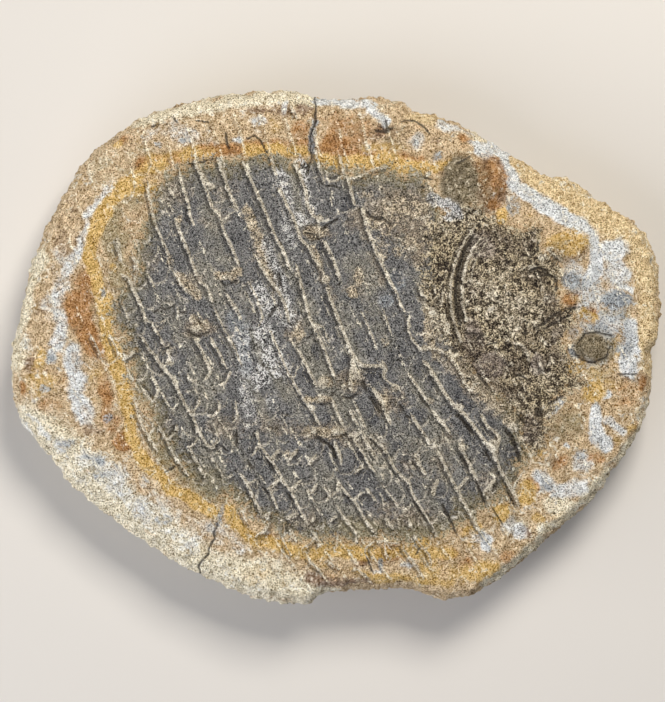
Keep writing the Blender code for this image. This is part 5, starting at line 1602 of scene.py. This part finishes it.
# %% Rock layers
ROCK_MIX = {"fine": 0.12, "clot": 0.4}
SILTSTONE = ("9a8462", "c2aa87", "e6d2ae")
CREAM = ("b0a588", "dfd5bb", "fbf5e0")
SLATE = ("5f646a", "8b9298", "bcc3c8")
ROCK_LAYERS = (
    ("cream", CREAM, {"clot": 0.6, "stain": 1.4}),
    ("tan", ("ad9468", "d4bd92", "f4e3b8"), {"clot": 0.5, "stain": 0.7}),
    ("umber", ("634c38", "8b745f", "b8a08a"), {"clot": -1.3, "stain": 1.4}),
    ("olive", ("7a6b48", "a09272", "c6b896"), {"clot": 0.9, "stain": 1.8}),
    ("chalk", ("b0b3b4", "d2d6d8", "f1f3f3"), {"clot": 0.8, "stain": 1.6}),
    ("rust", ("7c562c", "a67a48", "cc9f6a"), {"clot": 0.9, "stain": -1.8}),
    ("gold", ("a98b49", "cdaa64", "e9cd8e"), {"clot": -0.9, "stain": 2.0}),
    ("slate", SLATE, {"clot": 1.6, "stain": 1.2}),
    ("moss", ("4c432f", "776c56", "a5997d"), {"clot": 0.9, "stain": 0.6}),
)

rock = stone_tones(SILTSTONE, ROCK_MIX)
for layer in ROCK_LAYERS:
    rock = lay_over(rock, layer, ROCK_MIX)
print("layers of the rock:", len(ROCK_LAYERS))

# %% [markdown]
# ### The trunk's layers
#
# Fossil scales are dark enamel, flattened to plates that are streaked down the rows. Slate shows
# through in places. A warm band of half-covered scales runs along the shore, and crumbs of rock
# cling to the plates.

# %% Trunk layers
PLATE_MIX = {"fine": 0.3, "streak": 0.15}
PLATES = ("434446", "646464", "8e8e8c")
PALE_PLATES = ("plate", ("56544e", "76746b", "a09c90"), {"streak": 0.6, "stain": 1.5})
PALE_PLATE_EDGE = (-0.2, 0.55)
SLATE_ON_TRUNK = ("slate", SLATE, {"clot": 1.2})
SHORE = ("554f3c", "7d755c", "a89f80")
SHORE_BAND_RAGGED, SHORE_BAND = {"clot": 12.0, "stain": 12.0}, (5.0, 0.5)
WARM_RAGGED = {"clot": 0.9, "stain": 1.2}
TRUNK_MIX = {"fine": 0.4, "clot": 0.3}
TRUNK_LAYERS = (
    ("inky", ("2e2e33", "494a4d", "6c6c6e"), {"clot": 0.9, "stain": 1.2}),
    ("brown", ("4c443a", "766c5e", "a89a85"), {"clot": 1.1, "stain": 1.4}),
    ("crumb", ("3a3024", "93856e", "dccfb4"), {"clot": 1.8, "stain": 0.6}),
)

trunk = stone_tones(PLATES, PLATE_MIX)
trunk = lay_over(trunk, PALE_PLATES, PLATE_MIX, PALE_PLATE_EDGE)
trunk = lay_over(trunk, SLATE_ON_TRUNK, ROCK_MIX)
band = patch_share("trunk", SHORE_BAND_RAGGED, SHORE_BAND)
warm = add("Math", {0: patch_share("warm", WARM_RAGGED), 1: band}, operation="MAXIMUM")
above = stone_tones(SHORE, ROCK_MIX)
trunk = add("Mix", {0: warm, 6: trunk, 7: above}, out=2, data_type="RGBA")
for layer in TRUNK_LAYERS:
    trunk = lay_over(trunk, layer, TRUNK_MIX)
print("nodes so far:", len(tree.nodes))

# %% [markdown]
# ### The head's layers
#
# The head's bones were crushed, so its grain is the most contrasted of all, with smoother skull
# plates, dark matter and pale broken bones in it.

# %% Head layers
HEAD = ("29201a", "685b47", "c4b695")
HEAD_MIX = {"fine": 0.5, "clot": 0.65}
SKULL = ("skull", ("453c36", "73685f", "a29587"), {"clot": 1.4, "stain": 1.0})
SKULL_MIX = {"fine": 0.5, "clot": 0.5}
GLOOM = ("gloom", ("1d1712", "4a3e32", "8f8068"), {"clot": 1.8, "stain": 1.2})
PALE_BONE = ("pale_bone", ("453c2c", "8c816c", "d9d0ba"), {"clot": 1.8, "stain": 1.2})
BONE_MIX = {"fine": 0.5, "clot": 0.6}

head = stone_tones(HEAD, HEAD_MIX)
for layer, mix in ((SKULL, SKULL_MIX), (GLOOM, BONE_MIX), (PALE_BONE, BONE_MIX)):
    head = lay_over(head, layer, mix)
print("nodes with the head:", len(tree.nodes))

# %% [markdown]
# ### Rock, trunk, head and dust together
#
# The trunk and head maps hold the depth inside their shore in millimetres, so the shores can be
# very ragged and still sharp. The pale dust of the mended break lies on top of everything.

# %% Shores
TRUNK_RAGGED, TRUNK_EDGE = {"clot": 14.0, "stain": 9.0}, (-1.2, 1.4)
HEAD_RAGGED, HEAD_EDGE = {"clot": 12.0, "stain": 9.0}, (-0.8, 1.1)
DUST = ("dust", ("585756", "8b8a88", "d0d0ce"), {"fine": 0.8, "clot": 2.0, "stain": 0.8})
DUST_MIX, DUST_EDGE = {"fine": 1.0, "clot": 0.8}, (0.2, 1.1)

on_face = add("Attribute", attribute_name="on_face", out="Fac")
shore = patch_share("trunk", TRUNK_RAGGED, TRUNK_EDGE)
shore = add("Math", {0: shore, 1: on_face}, operation="MULTIPLY")
colour = add("Mix", {0: shore, 6: rock, 7: trunk}, out=2, data_type="RGBA")
shore = patch_share("head", HEAD_RAGGED, HEAD_EDGE)
colour = add("Mix", {0: shore, 6: colour, 7: head}, out=2, data_type="RGBA")
colour = lay_over(colour, DUST, DUST_MIX, DUST_EDGE)
print("nodes with the shores:", len(tree.nodes))

# %% [markdown]
# ### Lines
#
# A line's share of a point comes from the signed gap to it. The grain shifts the gap, so the line
# wanders. It also thins the line, and hides it where the mineral has worn away. A line can be
# drawn beside its path instead, as the shade under a ridge is.

# %% Share of a line
LINE_WANDER = {"clot": 0.8, "fine": 0.6}
LINE_THINNING = {"clot": 0.8}
LINE_EDGE = (-0.15, 0.15)
LINE_WEAR = {"stain": 1.3, "clot": 1.4, "fine": 0.9}
LINE_WEAR_START = 0.14
LINE_SHOWN = (0.1, 0.55)


def line_share(name, beside=0.0, wider=0.0):
    """1 along the drawn lines of one kind, or beside them, wandering and broken with the grain."""
    parts = ("_side", "_width", "_cover")
    side, width, cover = (add("Attribute", attribute_name=name + part, out="Fac") for part in parts)
    gap = add("Math", {0: mixed(LINE_WANDER, [(side, 1.0)], beside)}, operation="ABSOLUTE")
    inside = stepped(LINE_THINNING, [(width, 1.0), (gap, -1.0)], LINE_EDGE, wider)
    shown = stepped(LINE_WEAR, [(cover, 1.0)], LINE_SHOWN, LINE_WEAR_START)
    return add("Math", {0: inside, 1: shown}, operation="MULTIPLY")


def line_or_patch(lines, wider, patches, ragged_by, edge, strength):
    """Share of a finish that lies along drawn lines and in drawn patches."""
    line, patch = line_share(lines, wider=wider), patch_share(patches, ragged_by, edge)
    either = add("Math", {0: line, 1: patch}, operation="MAXIMUM")
    return add("Math", {0: either, 1: strength}, operation="MULTIPLY")


# %% [markdown]
# ### Finishes and painted shade along the lines
#
# Seams and scale edges are thin mineral with a painted shade along one side. Ridges have a darker
# painted shade below them and end in knobs, and crevices come with pits. Crevices and pits are
# painted shade too: one dark tone throughout, as no light reaches their grains.

# %% Line finishes and painted shade
RIDGE = ("91897a", "c2b9a5", "efe9da")
# One dark tone of painted shade, for the crevices, the pits and the shaded sides of seams, scale edges and
# ridges.
PAINTED_SHADE = ("2e2821", "2e2821", "2e2821")
LINE_FINISHES_AND_SHADES = (  # lines, tones, strength, beside, wider
    ("seam", CREAM, 0.7, 0.0, 0.0),
    ("seam", PAINTED_SHADE, 0.35, 0.8, 0.0),
    ("scale", PAINTED_SHADE, 0.35, -0.7, 0.0),
    ("scale", RIDGE, 0.45, 0.0, 0.0),
    ("ridge", PAINTED_SHADE, 0.6, 0.85, -0.05),
)
# Lines, wider, patches, the mix that makes them ragged, their edge, and the strength of both.
RIDGES_AND_KNOBS = ("ridge", -0.08, "knob", {"fine": 0.8, "clot": 1.0}, (0.3, 0.7), 0.8)
CREVICES_AND_PITS = ("crevice", -0.05, "hole", {"fine": 0.8, "clot": 0.8}, (0.35, 0.8), 0.85)

finishes_and_shades = []
for lines, tones, strength, beside, wider in LINE_FINISHES_AND_SHADES:
    share = line_share(lines, beside, wider)
    finishes_and_shades.append((add("Math", {0: share, 1: strength}, operation="MULTIPLY"), tones))
ridge, crevice = line_or_patch(*RIDGES_AND_KNOBS), line_or_patch(*CREVICES_AND_PITS)
# Lays the cream mineral and the painted shade over the colour.
for share, tones in (*finishes_and_shades, (ridge, RIDGE), (crevice, PAINTED_SHADE)):
    above = stone_tones(tones, ROCK_MIX)
    colour = add("Mix", {0: share, 6: colour, 7: above}, out=2, data_type="RGBA")
print("nodes with the lines:", len(tree.nodes))

# %% [markdown]
# ### Sparkle
#
# Tiny grain faces catch the light. The brightest grains get some, up to a cap, and the pores
# between them lose some. It is a paler copy of the stone's own colour.

# %% Sparkle of the grains
GLINT_MIX = {"fine": 5.6, "clot": 0.4, "stain": 0.6}
GLINT_START = 0.17
GLINT_CAP = 0.32
GLINT_GREY_ADDED = 0.06
GLINT_PALENESS = 0.45

glint = add("Math", {0: mixed(GLINT_MIX, start=GLINT_START), 1: GLINT_CAP}, operation="MINIMUM")
grey = add("RGBToBW", {0: colour})
grey = add("Math", {0: grey, 1: GLINT_GREY_ADDED}, operation="ADD")
paler = add("Mix", {0: GLINT_PALENESS, 6: colour, 7: grey}, out=2, data_type="RGBA")
shine = add("VectorMath", {0: paler, 3: glint}, operation="SCALE")
sockets = {0: 1.0, 6: colour, 7: shine}
colour = add("Mix", sockets, out=2, data_type="RGBA", blend_type="ADD")
print("nodes with the sparkle:", len(tree.nodes))

# %% [markdown]
# ### The shader
#
# Grain too fine for the mesh is a bump, about half a millimetre deep. Light grains are a little
# smoother than the pores, and nothing on the stone is glossy.

# %% Stone shader
BUMP_DEPTH = 0.6 * MM
BUMP_STRENGTH = 0.9
BUMP_MIX = {"fine": 0.9, "clot": 0.4}
BUMP_RIDGE, BUMP_CREVICE = 0.4, -0.3
SMOOTHER_GRAINS = {1: 0.35, 2: 0.65, 3: 0.95, 4: 0.75}  # from noise to roughness
SPECULAR = 0.3

height = mixed(BUMP_MIX, [(ridge, BUMP_RIDGE), (crevice, BUMP_CREVICE)])
sockets = {"Height": height, "Distance": BUMP_DEPTH, "Strength": BUMP_STRENGTH}
shader = tree.nodes["Principled BSDF"].inputs
tree.links.new(colour, shader["Base Color"])
tree.links.new(add("Bump", sockets, out="Normal"), shader["Normal"])
tree.links.new(add("MapRange", {0: grain["fine"], **SMOOTHER_GRAINS}), shader["Roughness"])
shader["Specular IOR Level"].default_value = SPECULAR
stone.data.materials.append(siltstone)
print("nodes of the stone's material:", len(tree.nodes))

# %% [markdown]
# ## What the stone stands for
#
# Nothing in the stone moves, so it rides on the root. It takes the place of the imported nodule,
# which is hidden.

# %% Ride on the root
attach(stone, "root")
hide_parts("fossil_nodule")
print("rides on the root:", stone.name)

# %% [markdown]
# ## The floor
#
# The stone lies on its back on a matt painted board, large enough to fill the picture.

# %% Floor
FLOOR_HALF_SIDE = 1.5
FLOOR_PAINT = "d8d5d0"
FLOOR_ROUGHNESS = 0.8


def make_floor():
    """A flat painted board in the resting plane."""
    sheet = bmesh.new()
    bmesh.ops.create_grid(sheet, x_segments=1, y_segments=1, size=FLOOR_HALF_SIDE)
    mesh = bpy.data.meshes.new("floor")
    sheet.to_mesh(mesh)
    sheet.free()
    # Matt wall paint, rolled on a board: pale, even, and without a reflection.
    paint = bpy.data.materials.new("matt_paint")
    paint.use_nodes = True
    shader = paint.node_tree.nodes["Principled BSDF"]
    shader.inputs["Base Color"].default_value = linear(FLOOR_PAINT)
    shader.inputs["Roughness"].default_value = FLOOR_ROUGHNESS
    mesh.materials.append(paint)
    floor = bpy.data.objects.new("floor", mesh)
    bpy.context.scene.collection.objects.link(floor)
    return floor


make_floor()
print("floor, half its side in m:", FLOOR_HALF_SIDE)

# %% [markdown]
# ## Light
#
# The key light comes in from beyond the fish's back, so that every ridge throws a small shadow.
# A broad fill from the other side softens the shadows, and a low light on the left picks out the
# rind. All three are soft boxes turned to the stone, in a dim white room.

# %% Lights
LIGHTS = (  # name, place and side length in metres, power in watts, colour
    ("key", (0.2, 0.45, 0.62), 0.3, 5.9, "fff8ee"),
    ("fill", (-0.5, -0.5, 0.5), 0.9, 5.0, "f2f4ff"),
    ("rim", (-0.8, -0.15, 0.18), 0.4, 2.6, "fffaf0"),
)
ROOM_COLOUR = "eceef0"
ROOM_STRENGTH = 0.14


def make_light(name, place, side, power, colour):
    """A soft box turned to the origin."""
    data = bpy.data.lights.new(name, "AREA")
    data.size = side
    data.energy = power
    data.color = linear(colour)[:3]
    light = bpy.data.objects.new(name, data)
    light.location = place
    light.rotation_mode = "QUATERNION"
    light.rotation_quaternion = (-Vector(place)).to_track_quat("-Z", "Y")
    bpy.context.scene.collection.objects.link(light)


def make_room():
    """The room's even light from all round."""
    world = bpy.data.worlds.new("soft_studio")
    world.use_nodes = True
    background = world.node_tree.nodes["Background"]
    background.inputs["Color"].default_value = linear(ROOM_COLOUR)
    background.inputs["Strength"].default_value = ROOM_STRENGTH
    bpy.context.scene.world = world


for light in LIGHTS:
    make_light(*light)
make_room()
bpy.context.scene.view_settings.view_transform = "Standard"
print("lights:", len(LIGHTS))

# %% [markdown]
# ## Camera
#
# The camera looks straight down on the split face. The lens is worked out so that the stone's
# 170 mm fill 646 of the picture's 665 pixels at the girth's height. The origin's place in the
# picture is a little off its middle, so the camera is moved by the difference.

# %% Camera
PICTURE_WIDTH, PICTURE_HEIGHT = 665, 702
ORIGIN_ACROSS, ORIGIN_DOWN = 335.0, 347.0
MM_PER_PIXEL = 170.0 / 646.0
CAMERA_DISTANCE = 0.8
SENSOR = 36.0


def make_camera():
    """Straight above the face, with the stone's origin at its own place in the picture."""
    data = bpy.data.cameras.new("camera")
    data.sensor_width = SENSOR
    data.lens = SENSOR * CAMERA_DISTANCE / (PICTURE_HEIGHT * MM_PER_PIXEL * MM)
    camera = bpy.data.objects.new("camera", data)
    offset_x = (PICTURE_WIDTH / 2.0 - ORIGIN_ACROSS) * MM_PER_PIXEL * MM
    offset_y = (ORIGIN_DOWN - PICTURE_HEIGHT / 2.0) * MM_PER_PIXEL * MM
    camera.location = (offset_x, offset_y, GIRTH_HEIGHT * MM + CAMERA_DISTANCE)
    bpy.context.scene.collection.objects.link(camera)
    return camera


bpy.context.scene.camera = make_camera()
print("lens, mm:", round(bpy.context.scene.camera.data.lens, 1))
